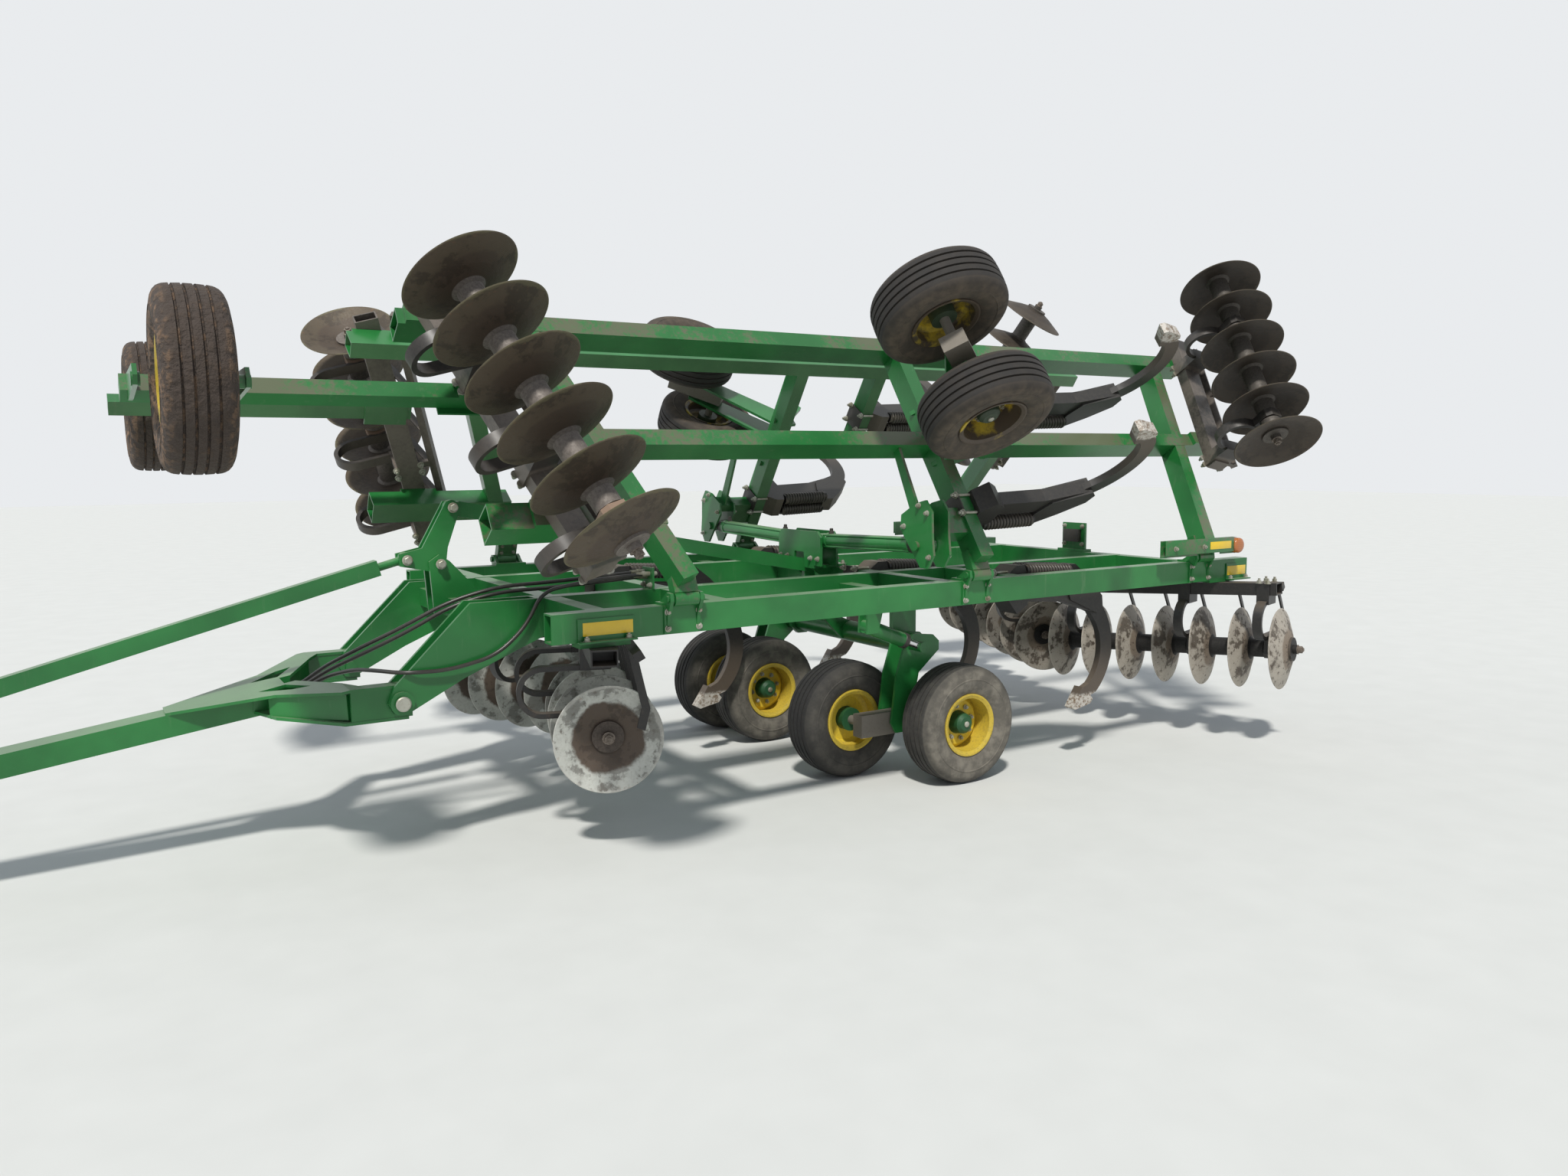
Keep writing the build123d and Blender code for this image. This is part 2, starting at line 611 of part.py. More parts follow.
with BuildPart() as tongue:
    bar(BASE, TONGUE_REAR, TONGUE_FRONT, TONGUE_WIDE, 120)
    open_end(BASE, TONGUE_REAR, TONGUE_FRONT, TONGUE_WIDE, 120, deep=400.0)
    slope_plate(((230, -90), (820, -90), (820, 90), (230, 90)), 16)
    for side in (-1, 1):
        side_plate(BASE, ((2484, 880), (2980, 800), (2980, 840), (2484, 921)), side * 85, 10)
    rod(BASE, (3900, 20, 640), (3900, 20, 730), 24.0)
    # hitch head with its pin bore
    bar(BASE, (4960, 0, HITCH_Z + 26), (HITCH_X + 60, 0, HITCH_Z + 26), 120, 110)
    bar(BASE, (5060, 0, HITCH_Z + 26), (HITCH_X + 62, 0, HITCH_Z + 26), 130, 50, mode=Mode.SUBTRACT)
    rod(BASE, (HITCH_X, 0, HITCH_Z - 60), (HITCH_X, 0, HITCH_Z + 120), HITCH_BORE_R, Mode.SUBTRACT)
    # lug of the level link
    for side in (-1, 1):
        side_plate(BASE, ((4640, 560), (4860, 530), (4830, 800), (4770, 830), (4720, 790)), side * 52, 16)
    rod(BASE, (4775, -80, 775), (4775, 80, 775), LINK_PIN_R)

# arms of the tongue, from its sides to the pins
with BuildPart() as tongue_arms:
    for side in (-1, 1):
        flat_plate(BASE, ((1960, side * 590), (1960, side * 688), (2251, side * 688), (2251, side * 461),
                          (2190, side * 590)), 966, 16)
        slope_plate(((0, side * 461), (0, side * 688), (40, side * 688), (314, side * 330), (810, side * 90),
                     (172, side * 90)), 16)
        flat_plate(BASE, ((1960, side * 590), (1960, side * 688), (2280, side * 688), (2560, side * 330),
                          (2640, side * 90), (2420, side * 90), (2190, side * 590)), 794, 16)
        side_plate(BASE, ((2422, 790), (2640, 790), (2640, 896), (2422, 930)), side * 95, 10)
        side_plate(BASE, ((1940, 960), (2250, 960), (2250, 800), (1940, 800)), side * 640, 90)
        bar(BASE, (2240, side * 640, 878), (2560, side * 250, 850), 60, 132)
        slope_plate(((132, side * 330), (222, side * 300), (372, side * 150), (232, side * 130)), 60,
                    mode=Mode.SUBTRACT)
        rod(BASE, (PIN_X, side * 500, PIN_Z), (PIN_X, side * 800, PIN_Z), 32.0 + RUNNING_GAP, Mode.SUBTRACT)

# hoses
HOSE_R = 11.0
# Each hose: the points of its route, from the tongue to the couplings.
HOSES = (
    ((2560, 60, 860), (2400, 66, 880), (2262, 150, 965), (2160, 360, 1022), (2090, 560, 1040), (2000, 745, 1045),
     (1760, 752, 1036), (1500, 752, 1090), (1330, 751, 1230), (1222, 738, 1418), (1040, 690, 1442),
     (830, 665, 1462), (526.8, 655, 1472)),
    ((2560, 25, 858), (2400, 25, 882), (2262, 110, 985), (2080, 290, 1100), (1880, 420, 1215), (1660, 500, 1350),
     (1400, 556, 1415), (1110, 606, 1424), (820, 618, 1440), (526.8, 615, 1455)),
    ((2560, -15, 866), (2400, -15, 890), (2262, 50, 1000), (2110, 240, 1115), (1900, 380, 1235), (1670, 460, 1366),
     (1400, 516, 1440), (1110, 568, 1452), (820, 580, 1468), (526.8, 585, 1480)),
)


def hose_radii(route):
    """Each bend takes nearly half of the shorter run beside it."""
    radii = []
    for before, here, after in zip(route, route[1:], route[2:]):
        ahead = Vector(*after) - Vector(*here)
        behind = Vector(*here) - Vector(*before)
        turn = acos(max(-1.0, min(1.0, ahead.normalized().dot(behind.normalized()))))
        radii.append(0.45 * min(ahead.length, behind.length) / tan(turn / 2))
    return radii


def run_hose(route, radius):
    radii = hose_radii(route)
    print("hose radii", [round(r) for r in radii])
    with BuildLine(mode=Mode.PRIVATE) as line:
        FilletPolyline(*route, radius=radii)
    start = Vector(*route[0])
    with BuildSketch(Plane(origin=start, z_dir=Vector(*route[1]) - start)) as outline:
        Circle(radius)
    sweep(outline.sketch, path=line.line)


with BuildPart() as hoses:
    for route in HOSES:
        run_hose([(x + LONG_SHIFT, y, z) for x, y, z in route], HOSE_R)

# jack
with BuildPart() as jack:
    rod(BASE, (4300, 150, 300), (4300, 150, 860), 38.0)
    rod(BASE, (4300, 150, 12), (4300, 150, 300), 30.0)
    rod(BASE, (4300, 150, 0), (4300, 150, 14), 110.0)
    rod(BASE, (4300, 150, 860), (4300, 150, 900), 44.0)
    bar(BASE, (4300, 90.5, 590), (4300, 150, 590), 60, 90)

# mast, links
with BuildPart() as front_mast:
    for side in (-1, 1):
        side_plate(BASE, (
            (1640, 1250), (1660, 1560), (1600, 1600), (1540, 1560), (1370, 1370), (1340, 1250)), side * 62, 20)
        side_plate(BASE, (
            (1560, 1500), (1640, 1500), (1820, 1540), (1825, 1610), (1690, 1640), (1540, 1910), (1470, 1905),
            (1468, 1840), (1540, 1640)), side * 38, 18)
    bar(BASE, (1500, -565, FRAME_Z - 20), (1500, 565, FRAME_Z - 20), 120, 110)
    rod(BASE, (1595, -90, 1545), (1595, 90, 1545), 24.0)
    rod(BASE, (1780, -62, 1575), (1780, 62, 1575), LINK_PIN_R)
    rod(BASE, (1505, -62, 1872), (1505, 62, 1872), LINK_PIN_R)

LEVER = (
    (-1440, 940), (-1320, 990), (-1160, 1150), (-1110, 1225), (-1085, 1330), (-1075, 1420), (-1015, 1420),
    (-1000, 1340), (-1010, 1170), (-1120, 1040), (-1330, 830), (-1440, 830),
)
with BuildPart() as level_link:
    bar(BASE, (1935, 0, 1537), (4560, 0, 831), 76, 90)
    rod(BASE, (1800, 0, 1573), (1935, 0, 1537), 24.0)
    rod(BASE, (4560, 0, 831), (4775, 0, 775), 24.0)
    rod(BASE, (1780, -26, 1575), (1780, 26, 1575), 44.0)
    rod(BASE, (4775, -40, 775), (4775, 40, 775), 42.0)
    rod(BASE, (1780, -40, 1575), (1780, 40, 1575), LINK_PIN_R + RUNNING_GAP, Mode.SUBTRACT)
    rod(BASE, (4775, -50, 775), (4775, 50, 775), LINK_PIN_R + RUNNING_GAP, Mode.SUBTRACT)
    bar(BASE, (1470, 0, 1864), (-1060, 0, 1381), 56, 90)
    rod(BASE, (1505, -26, 1872), (1505, 26, 1872), 44.0)
    rod(BASE, (1505, -40, 1872), (1505, 40, 1872), LINK_PIN_R + RUNNING_GAP, Mode.SUBTRACT)
    side_plate(BASE, LEVER, 0, 36, Mode.SUBTRACT)

# running gear
BEAM_Y = 840.0
PIVOT_X = -1170.0
# Each beam: side, its rear end, rear wheel x and y, front wheel x and y.
BEAMS = (
    (1, LEFT_REAR_X - 80, LEFT_REAR_X, 1110.0, LEFT_FRONT_X, 570.0),
    (-1, PIVOT_X - 80, RIGHT_REAR_X, 570.0, RIGHT_FRONT_X, 1110.0),
)
with BuildPart() as walking_beams:
    for side, rear_end, rear_x, rear_y, front_x, front_y in BEAMS:
        bar(BASE, (front_x + 80, side * BEAM_Y, WHEEL_Z), (rear_end, side * BEAM_Y, WHEEL_Z), 96, 150)
        rod(BASE, (PIVOT_X, side * (BEAM_Y - 60), WHEEL_Z), (PIVOT_X, side * (BEAM_Y + 60), WHEEL_Z), 50.0)
        for x, y in ((rear_x, rear_y), (front_x, front_y)):
            inward = 1 if y > BEAM_Y else -1
            rod(BASE, (x, side * BEAM_Y, WHEEL_Z), (x, side * (y + inward * 55), WHEEL_Z), SPINDLE_R)

LIFT_Y = 1000.0
with BuildPart() as wheel_legs:
    rod(BASE, (SHAFT_X, -900, SHAFT_Z), (SHAFT_X, 900, SHAFT_Z), SHAFT_R)
    side_plate(BASE, LEVER, 0, 36)
    for side in (-1, 1):
        for step in (-70.0, 70.0):
            side_plate(BASE, (
                (-1090, 400), (-1130, 330), (-1210, 330), (-1255, 420), (-1318, 720), (-1490, 860), (-1490, 920),
                (-1440, 965), (-1270, 985), (-1205, 930), (-1133, 720)), side * BEAM_Y + step, 20)
        # hangers that carry the shaft under the frame
        side_plate(BASE, ((-1300, UNDER_Z), (-1500, UNDER_Z), (-1500, 840), (-1440, 785), (-1360, 785),
                          (-1300, 840)), side * INNER_RAIL_Y, 40)
        # lift cylinder with its rod, pins and lugs
        rod(BASE, (-1130, side * LIFT_Y, 962), (-810, side * LIFT_Y, 1088), 48.0)
        rod(BASE, (-1260, side * LIFT_Y, 911), (-1130, side * LIFT_Y, 962), 24.0)
        rod(BASE, (-835, side * (LIFT_Y - 34), 1078), (-835, side * (LIFT_Y + 34), 1078), 44.0)
        rod(BASE, (-1260, side * (LIFT_Y + 40), 911), (-1260, side * (BEAM_Y + 65), 911), 34.0)
        for step in (-42.0, 42.0):
            side_plate(BASE, ((-800, UNDER_Z), (-930, UNDER_Z), (-880, 1040), (-790, 1040)), side * LIFT_Y + step, 16)

# rippers
# Centre standards: cross tube and side offset of each.
CENTRE_RIPPERS = ((420.0, -381.0), (-1200.0, 381.0), (-1200.0, -1143.0), (-1780.0, 1143.0))
with BuildPart() as rippers_centre:
    for x, y in CENTRE_RIPPERS:
        stand_ripper(BASE, x, y, FRAME_Z)
        hang_shank(BASE, x, y, FRAME_Z)
        tip_ripper(BASE, x, y, FRAME_Z)

WING_RIPPERS = ((HINGE_MIDDLE_X, 430.0), (-2100.0, 1230.0))
with BuildPart() as rippers_wing_left:
    for x, y in WING_RIPPERS:
        stand_ripper(WING, x, y, WING_Z)
        hang_shank(WING, x, y, WING_Z)
        tip_ripper(WING, x, y, WING_Z)

# wing wheels
WING_SHAFT = (-1540.0, -300.0)
WING_SHAFT_R = 60.0
WING_BEAM_Y = 980.0
with BuildPart() as wing_axle_left:
    bar(WING, (-860, WING_BEAM_Y, -1029), (-1210, WING_BEAM_Y, -741), 96, 150, up=(1, 0, 0))
    rod(WING, (-1150, WING_BEAM_Y, -790), (-1150, 645, -790), SPINDLE_R)
    rod(WING, (-920, WING_BEAM_Y, -980), (-920, 1315, -980), SPINDLE_R)

# wings
LAMP_PLATE_Y = HINGE_Y + 50.0
FOLD_PIN_Y = 230.0
FOLD_PIN_Z = 5.0
# Each rail of the wing: start, end and width.
WING_RAILS = (
    ((1920, WING_RAIL_OUTER, WING_Z), (-4250, WING_RAIL_OUTER, WING_Z), RAIL_WIDE),
    ((970, WING_RAIL_MID, WING_Z), (-4150, WING_RAIL_MID, WING_Z), RAIL_WIDE),
    ((740, 455, WING_Z), (1690, 455, WING_Z), 150),
)
with BuildPart() as wing_rails_left:
    for start, end, wide in WING_RAILS:
        bar(WING, start, end, wide, RAIL_TALL)
    open_end(WING, (1920, WING_RAIL_OUTER, WING_Z), (0, WING_RAIL_OUTER, WING_Z), RAIL_WIDE, RAIL_TALL)
    open_end(WING, (1690, 455, WING_Z), (0, 455, WING_Z), 150, RAIL_TALL)
    # bracket blocks between the rails and the toolbars: place, length and width
    for x, y, long, wide in ((1355, 455, 240, 150), (1763, WING_RAIL_OUTER, 240, RAIL_WIDE),
                             (1607, 1210, 180, 90), (-3975, WING_RAIL_MID, 240, RAIL_WIDE),
                             (-4169, WING_RAIL_OUTER, 160, RAIL_WIDE)):
        drop = BAR_DROP - 2.0
        level = WING_Z - RAIL_TALL / 2 - drop / 2
        bar(WING, (x - long / 2, y, level), (x + long / 2, y, level), wide, drop)
    # gauge wheel arm, its fork plates and cross pin
    bar(WING, (1500, 1210, -93), (GAUGE_X + 250, 1210, -93), 90, 90)
    flat_plate(WING, ((1530, 1130), (1530, 1290), (1790, 1290), (1790, 1130)), -42, 12)
    for step in (-210.0, 210.0):
        cross_plate(WING, (
            (1255, -137), (1255, -60), (1165, -60), (1100, -160), (GAUGE_Y - 45, GAUGE_Z - 20),
            (GAUGE_Y - 20, GAUGE_Z - 55), (GAUGE_Y + 40, GAUGE_Z - 50)), GAUGE_X + step, 18)
    rod(WING, (GAUGE_X - 225, GAUGE_Y, GAUGE_Z), (GAUGE_X + 55, GAUGE_Y, GAUGE_Z), SPINDLE_R)
    rod(WING, (GAUGE_X + 190, GAUGE_Y, GAUGE_Z), (GAUGE_X + 225, GAUGE_Y, GAUGE_Z), SPINDLE_R)

# cross tubes of the wing, each cut where a rail passes
with BuildPart() as wing_frame_left:
    bar(WING, (HINGE_MIDDLE_X, 60, WING_Z), (HINGE_MIDDLE_X, WING_RAIL_OUTER, WING_Z), RAIL_WIDE, RAIL_TALL - 4)
    bar(WING, (-3500, 60, WING_Z), (-3900, WING_RAIL_OUTER, WING_Z), RAIL_WIDE, RAIL_TALL - 4)
    bar(WING, (HINGE_FRONT_X, 60, WING_Z), (1235, WING_RAIL_OUTER, WING_Z), RAIL_WIDE, RAIL_TALL - 4)
    bar(WING, (-2100, WING_RAIL_MID, WING_Z), (-2100, WING_RAIL_OUTER, WING_Z), RAIL_WIDE, RAIL_TALL - 8)
    for start, end, wide in WING_RAILS:
        bar(WING, start, end, wide, RAIL_TALL, mode=Mode.SUBTRACT)
    # hinge knuckles
    for x in (HINGE_FRONT_X, HINGE_MIDDLE_X, HINGE_REAR_X):
        bar(WING, (x, 20, -12), (x, 150, -30), 140, 60)
        rod(WING, (x - 70, 0, 0), (x + 70, 0, 0), 40.0)
        rod(WING, (x - 90, 0, 0), (x + 90, 0, 0), HINGE_PIN_R + RUNNING_GAP, Mode.SUBTRACT)
    # lamp plate beside the hinge, notched over the hinge stands, with its lamp
    side_plate(BASE, ((-3000, 1437), (-3390, 1437), (-3390, 1478), (-3650, 1478), (-3650, 1437), (-3790, 1437),
                      (-3790, 1557), (-3000, 1557)), LAMP_PLATE_Y, 8)
    bar(BASE, (-3790, LAMP_PLATE_Y, 1494), (-3782, LAMP_PLATE_Y, 1494), 60, 60)
    rod(BASE, (-3840, LAMP_PLATE_Y, 1494), (-3790, LAMP_PLATE_Y, 1494), 46.0)
    # legs and shaft of the wing wheels
    for step in (-70.0, 70.0):
        side_plate(WING, (
            (-960, -850), (-1000, -930), (-1090, -930), (-1640, -330), (-1620, -220), (-1500, -200),
            (-1400, -260)), WING_BEAM_Y + step, 20)
    rod(WING, (WING_SHAFT[0], 700, WING_SHAFT[1]), (WING_SHAFT[0], 1260, WING_SHAFT[1]), WING_SHAFT_R)
    for y in (780.0, 1180.0):
        side_plate(WING, ((-1290, -60), (-1430, -60), (-1640, -250), (-1600, -370), (-1500, -380)), y, 30)
    # room for the beam and its spindles
    bar(WING, (-860, WING_BEAM_Y, -1029), (-1210, WING_BEAM_Y, -741), 96, 150, up=(1, 0, 0), mode=Mode.SUBTRACT)
    rod(WING, (-1150, WING_BEAM_Y, -790), (-1150, 645, -790), SPINDLE_R, Mode.SUBTRACT)
    rod(WING, (-920, WING_BEAM_Y, -980), (-920, 1315, -980), SPINDLE_R, Mode.SUBTRACT)

# plates that take the rod of the fold cylinder
with BuildPart() as fold_plates_left:
    for step in (-64.0, 64.0):
        cross_plate(WING, (
            (60, -10), (100, 50), (400, 85), (470, 30), (455, -130), (420, -220), (330, -230), (200, -150),
            (100, -100)), FOLD_X + step, 16)
    bar(WING, (HINGE_MIDDLE_X + RAIL_WIDE / 2, 330, WING_Z), (FOLD_X - 72, 330, WING_Z), 180, 110)
    bar(WING, (FOLD_X - 56, 410, -40), (FOLD_X + 56, 410, -40), 60, 120)
    cross_plate(WING, ((400, 20), (400, -60), (879, -110), (879, -50)), FOLD_X, 20)
    for near, far in ((-92, -72), (72, 92)):
        rod(WING, (FOLD_X + near, FOLD_PIN_Y, FOLD_PIN_Z), (FOLD_X + far, FOLD_PIN_Y, FOLD_PIN_Z), 30.0)

# fold cylinders
FOLD_COS = cos(radians(FOLD_ANGLE))
FOLD_SIN = sin(radians(FOLD_ANGLE))
PIN_OUT_Y = HINGE_Y + FOLD_PIN_Y * FOLD_COS - FOLD_PIN_Z * FOLD_SIN
PIN_OUT_Z = HINGE_Z + FOLD_PIN_Y * FOLD_SIN + FOLD_PIN_Z * FOLD_COS
ROD_R = 25.0
CYLINDER_SPAN = hypot(PIN_OUT_Y - FOLD_BASE_Y, PIN_OUT_Z - FOLD_BASE_Z)


def on_cylinder(distance):
    share = distance / CYLINDER_SPAN
    return (
        FOLD_X,
        FOLD_BASE_Y + (PIN_OUT_Y - FOLD_BASE_Y) * share,
        FOLD_BASE_Z + (PIN_OUT_Z - FOLD_BASE_Z) * share,
    )


with BuildPart() as fold_barrel_left:
    rod(BASE, on_cylinder(40), on_cylinder(1040), 50.0)
    rod(BASE, (FOLD_X - 36, FOLD_BASE_Y, FOLD_BASE_Z), (FOLD_X + 36, FOLD_BASE_Y, FOLD_BASE_Z), 50.0)
    rod(BASE, (FOLD_X - 60, FOLD_BASE_Y, FOLD_BASE_Z), (FOLD_X + 60, FOLD_BASE_Y, FOLD_BASE_Z),
        FOLD_PIN_R + RUNNING_GAP, Mode.SUBTRACT)
    rod(BASE, on_cylinder(300), on_cylinder(1050), ROD_R + RUNNING_GAP, Mode.SUBTRACT)
with BuildPart() as fold_rod_left:
    rod(BASE, on_cylinder(330), on_cylinder(CYLINDER_SPAN - 20), ROD_R)
    rod(BASE, (FOLD_X - 50, PIN_OUT_Y, PIN_OUT_Z), (FOLD_X + 50, PIN_OUT_Y, PIN_OUT_Z), 46.0)

# mirrored side
MIRRORED = {
    "gang_centre_front": gang_centre_front_left,
    "gang_centre_rear": gang_centre_rear_left,
    "gang_wing_front": gang_wing_front_left,
    "gang_wing_rear": gang_wing_rear_left,
    "hangers_wing": hangers_wing_left,
    "rippers_wing": rippers_wing_left,
    "wing_frame": wing_frame_left,
    "wing_rails": wing_rails_left,
    "wing_axle": wing_axle_left,
    "fold_plates": fold_plates_left,
    "fold_barrel": fold_barrel_left,
    "fold_rod": fold_rod_left,
    "tyre_wing_inner": tyre_wing_left_inner,
    "tyre_wing_outer": tyre_wing_left_outer,
    "tyre_gauge": tyre_gauge_left,
    "rim_wing_inner": rim_wing_left_inner,
    "rim_wing_outer": rim_wing_left_outer,
    "rim_gauge": rim_gauge_left,
}
SINGLE = {
    "main_frame": main_frame,
    "fold_mast": fold_mast,
    "tongue": tongue,
    "jack": jack,
    "tongue_arms": tongue_arms,
    "cross_tubes": cross_tubes,
    "hinge_stands": hinge_stands,
    "frame_plates": frame_plates,
    "hoses": hoses,
    "front_mast": front_mast,
    "level_link": level_link,
    "walking_beams": walking_beams,
    "wheel_legs": wheel_legs,
    "hangers_centre": hangers_centre,
    "rippers_centre": rippers_centre,
    "tyre_left_inner": tyre_left_inner,
    "tyre_left_outer": tyre_left_outer,
    "tyre_right_inner": tyre_right_inner,
    "tyre_right_outer": tyre_right_outer,
    "rim_left_inner": rim_left_inner,
    "rim_left_outer": rim_left_outer,
    "rim_right_inner": rim_right_inner,
    "rim_right_outer": rim_right_outer,
}

for node, piece in SINGLE.items():
    piece.part.label = node
    export_step(piece.part, "parts/" + node + ".step")
for node, piece in MIRRORED.items():
    piece.part.label = node + "_left"
    export_step(piece.part, "parts/" + node + "_left.step")
    with BuildPart() as other:
        add(mirror(piece.part, about=Plane.XZ, mode=Mode.PRIVATE))
    other.part.label = node + "_right"
    export_step(other.part, "parts/" + node + "_right.step")
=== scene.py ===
import math

import bmesh
import bpy
from mathutils import Matrix, Vector


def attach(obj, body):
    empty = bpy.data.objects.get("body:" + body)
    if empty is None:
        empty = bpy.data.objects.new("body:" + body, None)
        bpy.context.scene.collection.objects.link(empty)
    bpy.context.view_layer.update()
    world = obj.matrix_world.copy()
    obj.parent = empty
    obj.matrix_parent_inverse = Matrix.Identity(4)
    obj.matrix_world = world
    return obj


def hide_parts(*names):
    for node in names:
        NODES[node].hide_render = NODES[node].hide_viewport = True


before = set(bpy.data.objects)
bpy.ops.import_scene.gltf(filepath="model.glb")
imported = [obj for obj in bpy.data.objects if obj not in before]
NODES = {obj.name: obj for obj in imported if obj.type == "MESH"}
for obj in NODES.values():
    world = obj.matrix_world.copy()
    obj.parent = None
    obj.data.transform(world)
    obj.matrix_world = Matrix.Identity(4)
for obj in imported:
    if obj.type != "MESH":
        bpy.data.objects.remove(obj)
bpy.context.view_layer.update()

# Sizes shared with the part's source, in metres.
SHIFT = -0.393
HINGE_Y = 1.450
HINGE_Z = 1.420
HINGES = (0.700, -1.360, -3.520)
FOLD_X = -1.040
FRAME_Z = 1.306
WING_Z = -0.062
TYRE_R = 0.395

# Turn of a folded wing, sides of the machine with the sign of their Y, and the way up.
FOLD = math.radians(123.7)
SIDES = (("left", 1), ("right", -1))
UP = (0.0, 0.0, 1.0)


def base(x, y, z):
    """A point of the centre frame."""
    return Vector((x + SHIFT, y, z))


def wing(x, y, z, sign=1):
    """A point of the folded wing, given in the wing's own flat frame."""
    return Vector((
        x + SHIFT,
        sign * (HINGE_Y + y * math.cos(FOLD) - z * math.sin(FOLD)),
        HINGE_Z + y * math.sin(FOLD) + z * math.cos(FOLD),
    ))


def wing_way(x, y, z, sign=1):
    """A direction of the folded wing."""
    return (wing(x, y, z, sign) - wing(0, 0, 0, sign)).normalized()


def ways(place):
    """Forward, left and up in the frame that place works in."""
    return [(place(*axis) - place(0, 0, 0)).normalized() for axis in ((1, 0, 0), (0, 1, 0), (0, 0, 1))]


# camera
PHOTO_WIDE = 2048
FOCAL_PIXELS = 1467.0
SENSOR_WIDE = 36.0
EYE = Vector((3.007, 6.7, 2.15))
LOOK = Vector((-0.53084689, -0.83964156, -0.11490707))
RIGHT = Vector((-0.84483903, 0.5349844, -0.00622209))
lens = bpy.data.cameras.new("photo_camera")
lens.sensor_width = SENSOR_WIDE
lens.lens = FOCAL_PIXELS * SENSOR_WIDE / PHOTO_WIDE
camera = bpy.data.objects.new("photo_camera", lens)
bpy.context.scene.collection.objects.link(camera)
back = -LOOK.normalized()
across = (RIGHT - back * RIGHT.dot(back)).normalized()
upward = back.cross(across)
camera.matrix_world = Matrix((
    (across.x, upward.x, back.x, EYE.x),
    (across.y, upward.y, back.y, EYE.y),
    (across.z, upward.z, back.z, EYE.z),
    (0, 0, 0, 1),
))
bpy.context.scene.camera = camera


# materials
class Value:
    """A socket that can be used in sums."""

    def __init__(self, nodes, socket):
        self.nodes = nodes
        self.socket = socket

    def out(self, name):
        """Another output of the same node."""
        return Value(self.nodes, self.socket.node.outputs[name])

    def maths(self, operation, *values):
        return self.nodes.node("ShaderNodeMath", {"operation": operation}, values)

    def __add__(self, other):
        return self.maths("ADD", self, other)

    __radd__ = __add__

    def __sub__(self, other):
        return self.maths("SUBTRACT", self, other)

    def __rsub__(self, other):
        return self.maths("SUBTRACT", other, self)

    def __mul__(self, other):
        return self.maths("MULTIPLY", self, other)

    __rmul__ = __mul__

    def most(self, other):
        return self.maths("MAXIMUM", self, other)

    def size(self):
        return self.maths("ABSOLUTE", self)

    def root(self):
        return self.maths("SQRT", self)

    def wave(self):
        return self.maths("SINE", self)

    def held(self):
        """Kept between 0 and 1."""
        return self.nodes.node("ShaderNodeClamp", {}, (self, 0.0, 1.0))

    def step(self, low, high):
        """0 below low, 1 above high, smooth between them."""
        return self.nodes.node("ShaderNodeMapRange", {"interpolation_type": "SMOOTHSTEP"},
                               {"Value": self, "From Min": low, "From Max": high})


class Nodes:
    """A node tree that nodes are added to."""

    def __init__(self, tree):
        self.tree = tree

    def feed(self, socket, value):
        if isinstance(value, Value):
            self.tree.links.new(value.socket, socket)
        elif socket.type == "RGBA":
            socket.default_value = (*value, 1.0)
        else:
            socket.default_value = value

    def node(self, kind, settings, values, out=0):
        made = self.tree.nodes.new(kind)
        for key, setting in settings.items():
            setattr(made, key, setting)
        pairs = values.items() if isinstance(values, dict) else enumerate(values)
        for key, value in pairs:
            self.feed(made.inputs[key], value)
        return Value(self, made.outputs[out])


class Finish(Nodes):
    """One procedural material."""

    def __init__(self, name, roughness=0.5, metallic=0.0, coat=0.0):
        self.material = bpy.data.materials.new(name)
        self.material.use_nodes = True
        super().__init__(self.material.node_tree)
        self.shader = self.tree.nodes["Principled BSDF"].inputs
        self.feed(self.shader["Roughness"], roughness)
        self.feed(self.shader["Metallic"], metallic)
        self.feed(self.shader["Coat Weight"], coat)
        self.place = self.node("ShaderNodeTexCoord", {}, {}, out="Object")
        self.facing = self.place.out("Normal")

    def noise(self, scale, detail=3.0, rough=0.55, at=None):
        return self.node("ShaderNodeTexNoise", {},
                         {"Vector": at or self.place, "Scale": scale, "Detail": detail, "Roughness": rough})

    def streaks(self, scale):
        """Noise drawn out downwards, as rain leaves it."""
        return self.noise(scale, 4.0, 0.6, at=self.vector("MULTIPLY", self.place, (1.0, 1.0, 0.12)))

    def mix(self, share, low, high):
        return self.node("ShaderNodeMix", {"data_type": "RGBA"}, {0: share, 6: low, 7: high}, out=2)

    def vector(self, operation, *values, out=0):
        return self.node("ShaderNodeVectorMath", {"operation": operation}, values, out=out)

    def dot(self, vector, way):
        return self.vector("DOT_PRODUCT", vector, tuple(way), out=1)

    def ring(self, centre, axle):
        """Distance from an axle's line, and the place along it."""
        arm = self.vector("SUBTRACT", self.place, tuple(centre))
        along = self.dot(arm, axle)
        square = self.vector("DOT_PRODUCT", arm, arm, out=1) - along * along
        return square.most(0.0).root(), along

    def paint(self, colour, roughness=None, bump=None, strength=0.2, distance=0.002):
        self.feed(self.shader["Base Color"], colour)
        if roughness is not None:
            self.feed(self.shader["Roughness"], roughness)
        if bump is not None:
            relief = self.node("ShaderNodeBump", {},
                               {"Strength": strength, "Distance": distance, "Height": bump})
            self.feed(self.shader["Normal"], relief)
        return self.material


